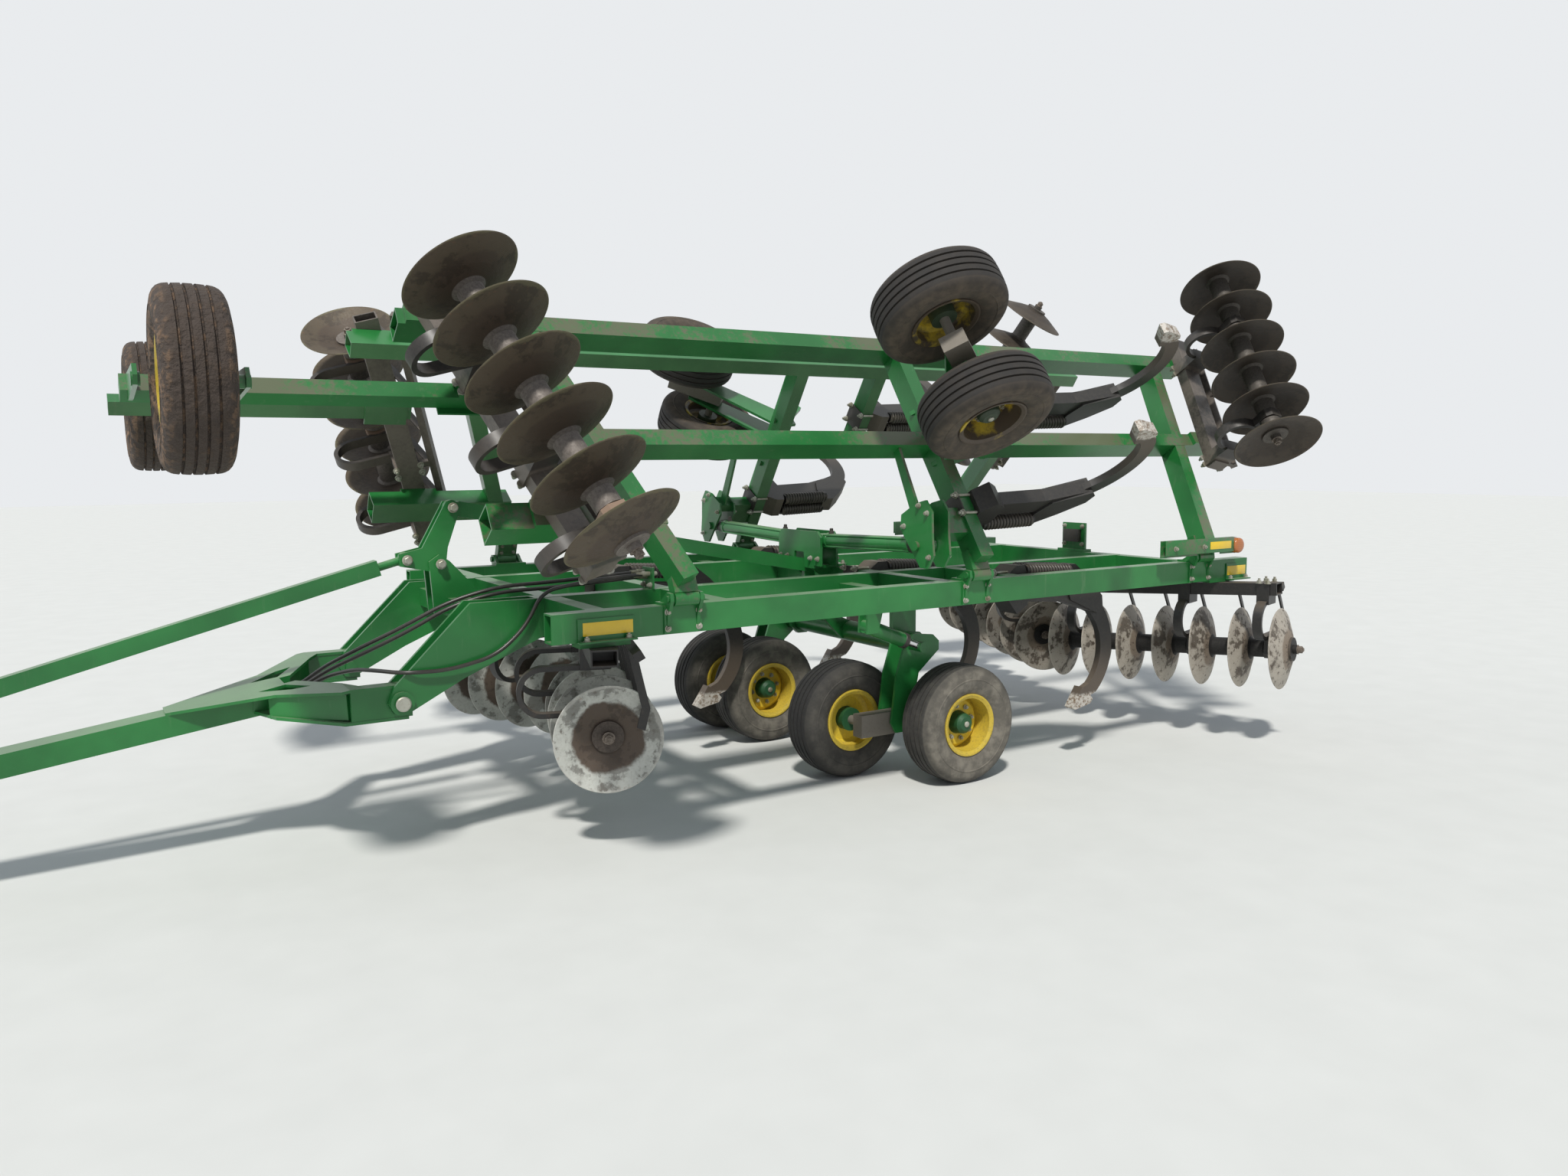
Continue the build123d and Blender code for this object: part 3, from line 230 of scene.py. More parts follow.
GREEN = (0.012, 0.130, 0.028)
# Painted sunlight: the green as the sun lights it, mixed into GREEN in patches.
GREEN_PAINTED_SUNLIT = (0.022, 0.205, 0.045)
HUB_GREEN = (0.012, 0.075, 0.025)
HUB_SOILED = (0.030, 0.048, 0.026)
YELLOW = (0.60, 0.43, 0.030)
# Painted sunlight: the yellow as the sun lights it, mixed into YELLOW in patches.
YELLOW_PAINTED_SUNLIT = (0.80, 0.60, 0.050)
BLACK = (0.012, 0.012, 0.012)
RUBBER = (0.014, 0.014, 0.0145)
DUST = (0.42, 0.41, 0.33)
ROAD_DUST = (0.33, 0.30, 0.245)
EARTH = (0.135, 0.090, 0.055)
SOIL = (0.135, 0.105, 0.078)
MUD = (0.150, 0.115, 0.080)
CAKED = (0.235, 0.145, 0.085)
CAKED_DARK = (0.052, 0.038, 0.030)
RIM_MUD = (0.060, 0.046, 0.034)


def shade(tint, share):
    """A darker tint of the same colour."""
    return tuple(share * part for part in tint)


def green_paint(name, up=UP, dust=0.35, soil=0.0):
    """Green in patches of painted sunlight, with dust on what faces up and, on the wings, soil on what faces
    down.
    """
    made = Finish(name, roughness=0.4, coat=0.1)
    broad = made.noise(1.6, 4.0)
    fine = made.noise(38.0, 6.0, 0.7)
    speck = made.noise(150.0, 2.0, 0.6)
    rain = made.streaks(22.0).step(0.58, 0.85)
    rise = made.dot(made.facing, up)
    # Patches of painted sunlight: a sunlit copy of the green, mixed in by noise.
    colour = made.mix(broad.step(0.35, 0.7), GREEN, GREEN_PAINTED_SUNLIT)
    top = rise.step(0.6, 0.95)
    film = (top * dust * (0.3 + broad * 0.9) + rain * 0.14 + (fine * fine) * 0.06 - 0.02).held()
    colour = made.mix(film, colour, DUST)
    if soil:
        under = (1 - rise.step(-0.9, -0.5)) * (broad * 0.7 + fine * 0.35).step(0.50, 0.60)
        colour = made.mix(under * soil, colour, SOIL)
    spots = speck.step(0.68, 0.78) * 0.5
    colour = made.mix(spots, colour, EARTH)
    return made.paint(colour, (0.32 + film * 0.5 + spots * 0.3).held(), bump=fine, strength=0.04)


def black_layers(name, up, dust):
    """Black under a brown film, with worn patches: the first layers of both black paints."""
    made = Finish(name, roughness=0.5)
    broad = made.noise(2.5, 4.0)
    fine = made.noise(45.0, 6.0, 0.7)
    top = made.dot(made.facing, up).step(0.4, 0.9)
    film = (top * dust * (0.35 + broad) + fine * 0.25 - 0.08).held()
    colour = made.mix(film, BLACK, (0.155, 0.125, 0.095))
    worn = (broad * 0.6 + fine * 0.5).step(0.64, 0.76) * 0.5
    return made, made.mix(worn, colour, (0.085, 0.055, 0.038)), film, broad, fine


def black_paint(name):
    """Black paint of the centre."""
    made, colour, film, _, fine = black_layers(name, UP, 0.55)
    return made.paint(colour, (0.40 + film * 0.45).held(), bump=fine, strength=0.12)


# Heights from the hinge, in the wing's own frame, where bleaching starts; radii where the axle's earth ends.
WING_BAR_LOW = (-0.31, -0.28)
JOURNAL_EDGE = (0.085, 0.115)


def bleached_black(name, up, hinge_rise, axis):
    """Black of the wings' hangers: bleached on the toolbars, earthy round the gang's axle."""
    made, colour, film, broad, fine = black_layers(name, up, 0.5)
    bar = (made.dot(made.place, up) - hinge_rise).step(*WING_BAR_LOW) * 0.75 + 0.25
    colour = made.mix((broad + fine * 0.4).step(0.40, 0.80) * bar * 0.7, colour, (0.20, 0.168, 0.14))
    away, _ = made.ring(*axis)
    colour = made.mix(1 - (away + (fine - 0.5) * 0.05).step(*JOURNAL_EDGE), colour, (0.30, 0.205, 0.145))
    return made.paint(colour, (0.40 + film * 0.45).held(), bump=fine, strength=0.12)


# Heights over which the beam passes into the shank, and the shank into the scoured point.
SHANK_HEIGHT = (0.50, 0.95)
POINT_HEIGHT = (0.445, 0.475)


def ripper_finish(name, shift, up=UP):
    """Black mounts, a grey brown spring beam and shank, and a scoured point."""
    made = Finish(name, roughness=0.5)
    broad = made.noise(2.5, 4.0)
    fine = made.noise(45.0, 6.0, 0.7)
    top = made.dot(made.facing, up).step(0.4, 0.9)
    film = (top * 0.65 * (0.35 + broad) + fine * 0.28 - 0.08).held()
    colour = made.mix(film, BLACK, (0.17, 0.14, 0.105))
    height = made.dot(made.place, up) + shift
    shank = 1 - (height + (broad - 0.5) * 0.08).step(*SHANK_HEIGHT)
    colour = made.mix(shank * 0.75, colour, (0.115, 0.088, 0.065))
    point = 1 - (height + (fine - 0.5) * 0.03).step(*POINT_HEIGHT)
    scoured = made.mix(fine.step(0.44, 0.62), (0.52, 0.49, 0.44), (0.17, 0.115, 0.07))
    colour = made.mix(point, colour, scoured)
    return made.paint(colour, (0.42 + film * 0.4).held(), bump=fine, strength=0.14)


def galvanised(name):
    """Dull grey zinc with earth in its dents."""
    made = Finish(name, roughness=0.55, metallic=0.35)
    broad = made.noise(3.0, 4.0)
    fine = made.noise(60.0, 5.0, 0.7)
    colour = made.mix(broad, (0.15, 0.135, 0.115), (0.27, 0.245, 0.205))
    colour = made.mix(fine.step(0.55, 0.8) * 0.7, colour, EARTH)
    return made.paint(colour, (0.5 + fine * 0.3).held(), bump=fine, strength=0.1)


def chrome(name):
    """Bright rod with a little dust."""
    made = Finish(name, roughness=0.12, metallic=1.0)
    fine = made.noise(70.0, 3.0)
    colour = made.mix(fine * 0.3, (0.72, 0.72, 0.74), (0.45, 0.42, 0.38))
    return made.paint(colour, (0.08 + fine * 0.2).held())


def zinc_bolts(name):
    """Pale yellowish plating with specks of earth."""
    made = Finish(name, roughness=0.4, metallic=0.6)
    fine = made.noise(90.0, 4.0)
    broad = made.noise(9.0, 3.0)
    colour = made.mix(broad.step(0.4, 0.65), (0.44, 0.44, 0.38), (0.28, 0.26, 0.19))
    return made.paint(made.mix(fine.step(0.6, 0.8) * 0.6, colour, EARTH), (0.35 + fine * 0.35).held())


def earthy_nuts(name):
    """Nuts under dried earth."""
    made = Finish(name, roughness=0.6, metallic=0.3)
    fine = made.noise(80.0, 4.0)
    return made.paint(made.mix(fine.step(0.35, 0.7), (0.21, 0.175, 0.145), (0.10, 0.078, 0.060)), bump=fine)


def plain_black(name, roughness=0.55, dust=0.3):
    """Black for small fittings, springs and hoses."""
    made = Finish(name, roughness=roughness)
    fine = made.noise(60.0, 5.0, 0.7)
    broad = made.noise(5.0, 4.0)
    film = (broad * dust + fine * 0.2 - 0.08).held()
    return made.paint(made.mix(film, BLACK, (0.16, 0.135, 0.105)), (roughness - 0.1 + film * 0.4).held(),
                      bump=fine, strength=0.08)


def reflector_foil(name):
    """Yellow sheet of small raised cells."""
    made = Finish(name, roughness=0.3, coat=0.4)
    cells = made.node("ShaderNodeTexVoronoi", {"feature": "DISTANCE_TO_EDGE"},
                      {"Vector": made.place, "Scale": 160.0})
    broad = made.noise(12.0, 4.0)
    tint = made.mix(broad.step(0.4, 0.8) * 0.3, (0.80, 0.54, 0.015), (0.55, 0.36, 0.03))
    tint = made.mix((1 - cells.step(0.0, 0.04)) * 0.4, tint, (0.90, 0.68, 0.12))
    return made.paint(tint, bump=cells, strength=0.2)


# Radii where the spools end, and where rust and edge begin; softness of the bright ring; fineness of circles.
SPOOL_EDGE = (0.086, 0.091)
RUST_START = (0.25, 0.29)
DISC_EDGE = (0.286, 0.297)
RING_BLUR = 0.012
LATHE_CIRCLES = 900.0


def disc_steel(name, centre, axle, ring_tint, middle_tint, stains, edge_tint, ring_from, spool_tint):
    """Discs with earth on the middle and a brighter outer ring; spools and axle dark."""
    made = Finish(name, roughness=0.5, metallic=0.25)
    away, _ = made.ring(centre, axle)
    broad = made.noise(6.0, 6.0, 0.62)
    fine = made.noise(70.0, 5.0, 0.7)
    drops = made.noise(26.0, 4.0, 0.6)
    reach = away + (broad - 0.5) * 0.10
    ring = made.mix(broad.step(0.42, 0.62) * 0.4, ring_tint, shade(ring_tint, 0.55))
    colour = made.mix(reach.step(ring_from - RING_BLUR, ring_from + RING_BLUR), middle_tint, ring)
    blots = (broad * 0.75 + drops * 0.35).step(0.56, 0.62) * stains
    colour = made.mix(blots, colour, shade(middle_tint, 0.35))
    colour = made.mix(drops.step(0.58, 0.66) * stains * 0.8, colour, (0.075, 0.055, 0.040))
    rust = (1 - drops.step(0.32, 0.37)) * reach.step(*RUST_START) * stains * 0.6
    colour = made.mix(rust, colour, (0.22, 0.10, 0.05))
    colour = made.mix(fine.step(0.45, 0.85) * 0.4, colour, EARTH)
    colour = made.mix(reach.step(*DISC_EDGE) * 0.5, colour, edge_tint)
    spools = made.mix(fine.step(0.3, 0.8), spool_tint, shade(spool_tint, 0.55))
    colour = made.mix(1 - away.step(*SPOOL_EDGE), colour, spools)
    circles = (away * LATHE_CIRCLES).wave() * 0.25 + fine
    return made.paint(colour, (0.38 + fine * 0.45).held(), bump=circles, strength=0.12)


# Distance from the wheel's middle where the wall begins; radii of the shoulder and of the grooves' tops.
TREAD_HALF = (0.085, 0.13)
SHOULDER = (0.34, 0.385)
GROOVE_TOP = (0.3835, 0.3875)


def tyre_rubber(name, centre, axle, dust, tint, lumpy):
    """Rubber with dust on wall and tread, or with caked earth."""
    made = Finish(name, roughness=0.8)
    away, along = made.ring(centre, axle)
    broad = made.noise(4.0, 5.0, 0.6)
    fine = made.noise(55.0, 6.0, 0.7)
    patches = made.noise(15.0, 3.0, 0.6).step(0.35, 0.7)
    outward = along.size().step(*TREAD_HALF)
    wall = outward * (1 - away.step(*SHOULDER) * 0.7)
    grooves = (1 - outward) * (1 - away.step(*GROOVE_TOP))
    film = ((wall * 0.65 + 0.15) * dust * (0.30 + broad * 0.5 + patches * 0.5)
            + fine * 0.12 + grooves * 0.30 * dust - 0.07).held()
    colour = made.mix(film, RUBBER, tint)
    if lumpy:
        lumps = made.noise(24.0, 4.0, 0.6)
        colour = made.mix(lumps.step(0.46, 0.60) * 0.75, CAKED_DARK, colour)
        return made.paint(colour, (0.75 + fine * 0.2).held(), bump=lumps, strength=1.0, distance=0.03)
    return made.paint(colour, (0.7 + fine * 0.25).held(), bump=fine, strength=0.15)


# Radii where the green hub ends and where the rim's soiled lip begins.
HUB_EDGE = (0.078, 0.081)
RIM_LIP = (0.150, 0.178)


def wheel_yellow(name, centre, axle, soiled):
    """Yellow rim in patches of painted sunlight, with a green hub, under mud on the wings."""
    made = Finish(name, roughness=0.4)
    away, _ = made.ring(centre, axle)
    broad = made.noise(6.0, 4.0)
    fine = made.noise(60.0, 5.0, 0.7)
    # Patches of painted sunlight: a sunlit copy of the yellow, mixed in by noise.
    colour = made.mix(broad, YELLOW, YELLOW_PAINTED_SUNLIT)
    dirt = (fine.step(0.42, 0.85) * 0.45 + away.step(*RIM_LIP) * 0.45 * broad
            + (1 - broad.step(0.46, 0.66)) * soiled).held()
    colour = made.mix(dirt, colour, made.mix(soiled, EARTH, RIM_MUD))
    colour = made.mix(1 - away.step(*HUB_EDGE), colour, HUB_SOILED if soiled else HUB_GREEN)
    return made.paint(colour, (0.35 + fine * 0.4).held(), bump=fine, strength=0.06)


def lamp_amber(name):
    """Amber plastic with fine level ribs."""
    made = Finish(name, roughness=0.15, coat=0.6)
    ribs = (made.dot(made.place, UP) * 700.0).wave()
    return made.paint(made.mix(ribs.step(-1.0, 1.0) * 0.5, (0.38, 0.105, 0.018), (0.55, 0.19, 0.035)),
                      bump=ribs, strength=0.15)


def coat(node, material):
    """Gives a CAD node its material."""
    NODES[node].data.materials.clear()
    NODES[node].data.materials.append(material)


green = green_paint("green_paint")
black = black_paint("black_paint")
zinc = galvanised("galvanised_beams")
rod_chrome = chrome("rod_chrome")
bolt_zinc = zinc_bolts("bolt_zinc")
soot = plain_black("plain_black")
nut_brown = earthy_nuts("nut_brown")
spring_black = plain_black("spring_black", roughness=0.38, dust=0.75)
foil = reflector_foil("reflector_yellow")
amber = lamp_amber("lamp_amber")
wing_green = {side: green_paint("wing_green_" + side, tuple(wing_way(0, 0, 1, sign)), dust=0.2, soil=0.75)
              for side, sign in SIDES}

for node in ("main_frame", "cross_tubes", "hinge_stands", "frame_plates", "fold_mast", "tongue",
             "tongue_arms", "front_mast", "level_link", "wheel_legs"):
    coat(node, green)
for node in ("jack", "hangers_centre"):
    coat(node, black)
coat("rippers_centre", ripper_finish("centre_rippers", 0.0))
coat("hoses", plain_black("hose_rubber", roughness=0.4, dust=0.2))
coat("walking_beams", zinc)

# Gangs: frame, first and last disc in local metres, number of discs, ends of the toolbar, hangers.
GANGS = {
    "centre_front": (base, (0.720, 0.215, 0.640), (1.000, 1.085, 0.640), 4,
                     (0.721, 0.060, 1.153), (1.190, 1.515, 1.153), (0.5, 2.5)),
    "centre_rear": (base, (-3.570, 0.172, 0.637), (-4.105, 1.800, 0.730), 7,
                    (-3.366, 0.060, 1.091), (-3.935, 1.800, 1.190), (0.5, 3.5, 5.5)),
    "wing_front": (wing, (1.300, -0.060, -0.745), (1.750, 1.350, -0.745), 6,
                   (1.253, 0.150, -0.213), (1.800, 1.790, -0.213), (0.5, 2.5, 4.5)),
    "wing_rear": (wing, (-3.860, 0.560, -0.745), (-4.210, 1.980, -0.745), 6,
                  (-3.900, 0.640, -0.213), (-4.200, 1.800, -0.213), (0.5, 3.5)),
}
DISC_FINISH = {
    "centre_front": dict(ring_tint=(0.50, 0.51, 0.47), middle_tint=(0.088, 0.066, 0.050), stains=0.5,
                         edge_tint=(0.52, 0.51, 0.47), ring_from=0.20, spool_tint=(0.080, 0.062, 0.050)),
    "centre_rear": dict(ring_tint=(0.44, 0.40, 0.34), middle_tint=(0.24, 0.195, 0.15), stains=0.85,
                        edge_tint=(0.46, 0.42, 0.36), ring_from=0.15, spool_tint=(0.020, 0.019, 0.018)),
    "wing_front": dict(ring_tint=(0.092, 0.072, 0.048), middle_tint=(0.070, 0.052, 0.037), stains=0.5,
                       edge_tint=(0.17, 0.155, 0.085), ring_from=0.20, spool_tint=(0.19, 0.165, 0.145)),
    "wing_rear": dict(ring_tint=(0.060, 0.048, 0.036), middle_tint=(0.045, 0.036, 0.028), stains=0.4,
                      edge_tint=(0.12, 0.10, 0.07), ring_from=0.20, spool_tint=(0.10, 0.088, 0.075)),
}


def gang_line(gang, sign):
    """First disc of a gang on one side, and the direction of its axle."""
    place, first, last = GANGS[gang][:3]
    low, high = place(*first), place(*last)
    low.y *= sign
    high.y *= sign
    return low, (high - low).normalized()


for gang in GANGS:
    for side, sign in SIDES:
        which = gang + "_" + side
        coat("gang_" + which, disc_steel("discs_" + which, *gang_line(gang, sign), **DISC_FINISH[gang]))

for side, sign in SIDES:
    up = tuple(wing_way(0, 0, 1, sign))
    hinge_rise = Vector(up).dot(wing(0, 0, 0, sign))
    for node in ("wing_frame_", "wing_rails_", "fold_plates_"):
        coat(node + side, wing_green[side])
    journal = gang_line("wing_front", sign)
    coat("hangers_wing_" + side, bleached_black("wing_black_" + side, up, hinge_rise, journal))
    coat("rippers_wing_" + side, ripper_finish("wing_rippers_" + side, FRAME_Z - WING_Z - hinge_rise, up))
    coat("wing_axle_" + side, zinc)
    coat("fold_barrel_" + side, green)
    coat("fold_rod_" + side, rod_chrome)


# making pieces
def deselect():
    """Leaves edit mode and selects nothing."""
    if bpy.context.object and bpy.context.object.mode != "OBJECT":
        bpy.ops.object.mode_set(mode="OBJECT")
    bpy.ops.object.select_all(action="DESELECT")


def begin(name):
    """Names the new primitive and goes into edit mode on it."""
    piece = bpy.context.object
    piece.name = name
    piece.data.name = name
    bpy.ops.object.mode_set(mode="EDIT")
    bpy.ops.mesh.select_mode(type="FACE")
    return piece


def close_up(piece, material, angle=35.0, merge=True):
    """Merges doubles, turns the faces outwards, smooths and coats."""
    if bpy.context.object.mode != "EDIT":
        bpy.ops.object.mode_set(mode="EDIT")
    bpy.ops.mesh.select_all(action="SELECT")
    if merge:
        bpy.ops.mesh.remove_doubles(threshold=0.00002)
    bpy.ops.mesh.normals_make_consistent(inside=False)
    bpy.ops.object.mode_set(mode="OBJECT")
    bpy.ops.object.shade_smooth_by_angle(angle=math.radians(angle))
    if material:
        piece.data.materials.append(material)
    return piece


def choose_top(piece):
    """Selects the faces that look up."""
    net = bmesh.from_edit_mesh(piece.data)
    for face in net.faces:
        face.select_set(face.normal.z > 0.9)
    bmesh.update_edit_mesh(piece.data)


def block(name, low, high, bevel, material):
    """Box with bevelled edges."""
    deselect()
    low, high = Vector(low), Vector(high)
    bpy.ops.mesh.primitive_cube_add(size=1.0, location=(0, 0, 0))
    piece = begin(name)
    bpy.ops.mesh.select_all(action="SELECT")
    bpy.ops.transform.resize(value=tuple(high - low), center_override=(0, 0, 0))
    bpy.ops.transform.translate(value=tuple((low + high) / 2))
    bpy.ops.mesh.bevel(offset=bevel, segments=2, affect="EDGES")
    return close_up(piece, material)


def slab(name, sign, x_ends, y_ends, z_ends, bevel, material):
    """Box on one side of the machine, given by its ends on the left."""
    near, far = sorted(sign * y for y in y_ends)
    return block(name, base(x_ends[0], near, z_ends[0]), base(x_ends[1], far, z_ends[1]), bevel, material)


def turned(name, rows, steps, angle=35.0):
    """A closed outline of radius and place along Z, spun round Z."""
    deselect()
    bpy.ops.mesh.primitive_circle_add(vertices=len(rows), radius=0.5)
    piece = begin(name)
    net = bmesh.from_edit_mesh(piece.data)
    net.verts.ensure_lookup_table()
    for vert, (radius, along) in zip(net.verts, rows):
        vert.co = (radius, 0.0, along)
    bmesh.update_edit_mesh(piece.data)
    bpy.ops.mesh.select_mode(type="VERT")
    bpy.ops.mesh.select_all(action="SELECT")
    bpy.ops.mesh.spin(steps=steps, angle=2 * math.pi, center=(0, 0, 0), axis=(0, 0, 1))
    return close_up(piece, None, angle)


def ring_rows(inner, outer, long, soft=0.003):
    """Outline of a ring with softened outer edges."""
    return [(inner, 0.0), (outer - soft, 0.0), (outer, soft), (outer, long - soft), (outer - soft, long),
            (inner, long)]


def coil(name, radius, wire, pitch, winds, wire_sides=6, steps=12):
    """Spring wire screwed up Z from zero."""
    deselect()
    bpy.ops.mesh.primitive_circle_add(vertices=wire_sides, radius=wire)
    piece = begin(name)
    net = bmesh.from_edit_mesh(piece.data)
    for vert in net.verts:
        vert.co = (radius + vert.co.x, 0.0, vert.co.y)
    bmesh.update_edit_mesh(piece.data)
    bpy.ops.object.mode_set(mode="OBJECT")
    screw = piece.modifiers.new("wound", "SCREW")
    screw.axis = "Z"
    screw.angle = 2 * math.pi
    screw.screw_offset = pitch
    screw.iterations = winds
    screw.steps = steps
    screw.render_steps = steps
    bpy.ops.object.modifier_apply(modifier="wound")
    bpy.ops.object.mode_set(mode="EDIT")
    bpy.ops.mesh.select_mode(type="EDGE")
    bpy.ops.mesh.select_all(action="DESELECT")
    bpy.ops.mesh.select_non_manifold()
    bpy.ops.mesh.fill_holes(sides=0)
    return close_up(piece, None, 60.0)


# Sizes of a bolt as shares of its width across flats, then those of its washer and the seat of its head.
HEX_CORNER = 0.577
HEAD_TALL = 0.62
WASHER_R = 0.78
CHAMFER_WIDE = 0.07
CHAMFER_TALL = 0.05
STUD_EDGE = 0.16
WASHER_THICK = 0.003
WASHER_EDGE = 0.0008
HEAD_SEAT = 0.0025


def hex_bolt(name, across, stud=0.0):
    """Bevelled hexagon head on a washer, looking along Z."""
    deselect()
    bpy.ops.mesh.primitive_cylinder_add(vertices=12, radius=across * WASHER_R, depth=WASHER_THICK,
                                        location=(0, 0, 0))
    washer = begin(name + "_washer")
    bpy.ops.mesh.select_all(action="SELECT")
    bpy.ops.transform.translate(value=(0, 0, WASHER_THICK / 3))
    choose_top(washer)
    bpy.ops.mesh.inset(thickness=WASHER_EDGE, depth=WASHER_EDGE / 2)
    deselect()
    bpy.ops.mesh.primitive_cylinder_add(vertices=6, radius=across * HEX_CORNER, depth=across * HEAD_TALL,
                                        location=(0, 0, 0))
    head = begin(name)
    bpy.ops.mesh.select_all(action="SELECT")
    bpy.ops.transform.translate(value=(0, 0, HEAD_SEAT + across * HEAD_TALL / 2))
    choose_top(head)
    bpy.ops.mesh.inset(thickness=across * CHAMFER_WIDE, depth=across * CHAMFER_TALL)
    if stud:
        bpy.ops.mesh.inset(thickness=across * STUD_EDGE)
        bpy.ops.mesh.extrude_region_move(TRANSFORM_OT_translate={"value": (0, 0, stud)})
    bpy.ops.object.mode_set(mode="OBJECT")
    washer.select_set(True)
    bpy.context.view_layer.objects.active = head
    bpy.ops.object.join()
    bpy.ops.object.mode_set(mode="EDIT")
    return close_up(head, None, 30.0, merge=False)


def stand(place, way):
    """Matrix that takes Z to a direction at a place."""
    turn = Vector(way).normalized().to_track_quat("Z", "Y").to_matrix().to_4x4()
    return Matrix.Translation(Vector(place)) @ turn


def round_seat(seat, turn, radius, lift=0.0):
    """A seat on a circle round another seat, at a turn in degrees."""
    return seat @ Matrix.Rotation(math.radians(turn), 4, "Z") @ Matrix.Translation((radius, 0.0, lift))


def flipped(matrix, sign):
    """The same place on the other side of the machine."""
    return matrix if sign > 0 else Matrix.Diagonal((1, -1, 1, 1)) @ matrix


def joined(name, parts, body):
    """Finished parts made one piece that rides on a body."""
    deselect()
    for part in parts:
        part.select_set(True)
    piece = parts[0]
    bpy.context.view_layer.objects.active = piece
    if len(parts) > 1:
        bpy.ops.object.join()
    piece.name = name
    piece.data.name = name
    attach(piece, body)
    return piece


def copies(name, pattern, matrices, body, material):
    """One piece of all the copies of a pattern."""
    made = []
    for matrix in matrices:
        other = pattern.copy()
        other.data = pattern.data.copy()
        other.data.transform(matrix)
        if matrix.to_3x3().determinant() < 0:
            other.data.flip_normals()
        other.data.materials.append(material)
        bpy.context.scene.collection.objects.link(other)
        made.append(other)
    return joined(name, made, body)


# Wheels: centre, axle, side of the cap along the axle, dust on the rubber and its tint.
WHEELS = {
    "left_inner": (base(-0.950, 0.570, TYRE_R), Vector((0, 1, 0)), -1, 0.22, ROAD_DUST),
    "left_outer": (base(-1.500, 1.110, TYRE_R), Vector((0, 1, 0)), 1, 0.70, ROAD_DUST),
    "right_inner": (base(-1.010, -0.570, TYRE_R), Vector((0, 1, 0)), 1, 0.60, ROAD_DUST),
    "right_outer": (base(-0.950, -1.110, TYRE_R), Vector((0, 1, 0)), -1, 0.40, ROAD_DUST),
}
for side, sign in SIDES:
    across_wing = wing_way(0, 1, 0, sign)
    WHEELS["wing_inner_" + side] = (wing(-1.150, 0.700, -0.790, sign), across_wing, -1, 0.70, MUD)
    WHEELS["wing_outer_" + side] = (wing(-0.920, 1.260, -0.980, sign), across_wing, 1, 0.70, MUD)
    WHEELS["gauge_" + side] = (wing(2.939, 0.952, -0.500, sign), Vector((1, 0, 0)), 1, 1.60, CAKED)
WING_SOIL = 0.85

# tyres with a bead, a stepped wall and five ribs
GROOVES = (0.066, 0.022, -0.022, -0.066)
GROOVE_DEEP = 0.012
GROOVE_HALF = (0.0065, 0.0040)
CROWN_FALL = 0.6
TYRE_WALL = [
    (0.190, 0.101), (0.200, 0.110), (0.212, 0.1135), (0.222, 0.1200), (0.250, 0.1345), (0.285, 0.1405),
    (0.300, 0.1405), (0.303, 0.1430), (0.309, 0.1430), (0.312, 0.1400), (0.330, 0.1385), (0.348, 0.1350),
    (0.366, 0.1265), (0.379, 0.1150), (0.3865, 0.1010), (0.3895, 0.0920),
]


def tyre_rows():
    """Outline of the tyre: one wall, the tread with its grooves, and the other wall."""
    wide, narrow = GROOVE_HALF
    tread = []
    for middle in GROOVES:
        top = TYRE_R - CROWN_FALL * middle * middle
        floor = top - GROOVE_DEEP
        tread += [(top, middle + wide), (floor, middle + narrow), (floor, middle - narrow),
                  (top, middle - wide)]
    return TYRE_WALL + tread + [(radius, -along) for radius, along in reversed(TYRE_WALL)]


tyre_pattern = turned("tyre_pattern", tyre_rows(), steps=72, angle=32.0)
for wheel, (centre, axle, _, dust, tint) in WHEELS.items():
    rubber = tyre_rubber("rubber_" + wheel, centre, axle, dust, tint, lumpy="gauge" in wheel)
    tyre = copies("tread_" + wheel, tyre_pattern, [stand(centre, axle)], "wheel_" + wheel, rubber)
    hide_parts("tyre_" + wheel)
    coat("tyre_" + wheel, rubber)
    soiled = WING_SOIL if "wing" in wheel else 0.0
    coat("rim_" + wheel, wheel_yellow("wheel_paint_" + wheel, centre, axle, soiled))

# wheel bolts and the tips of the hub caps
WHEEL_BOLTS = 8
BOLT_CIRCLE = 0.112
BOLT_SEAT = 0.004
FIRST_BOLT = 11.0
CAP_TIP = [(0.0, 0.084), (0.019, 0.084), (0.019, 0.0925), (0.014, 0.0965), (0.0, 0.0975)]
wheel_bolt = hex_bolt("wheel_bolt", across=0.022, stud=0.006)
cap_tip = turned("cap_tip", CAP_TIP, steps=20)
for wheel, (centre, axle, cap, *_) in WHEELS.items():
    seat = stand(centre, Vector(axle) * cap)
    bolts = [round_seat(seat, FIRST_BOLT + number * 360.0 / WHEEL_BOLTS, BOLT_CIRCLE, BOLT_SEAT)
             for number in range(WHEEL_BOLTS)]
    copies("wheel_bolts_" + wheel, wheel_bolt, bolts, "wheel_" + wheel, bolt_zinc)
    copies("hub_tip_" + wheel, cap_tip, [seat], "wheel_" + wheel, bolt_zinc)

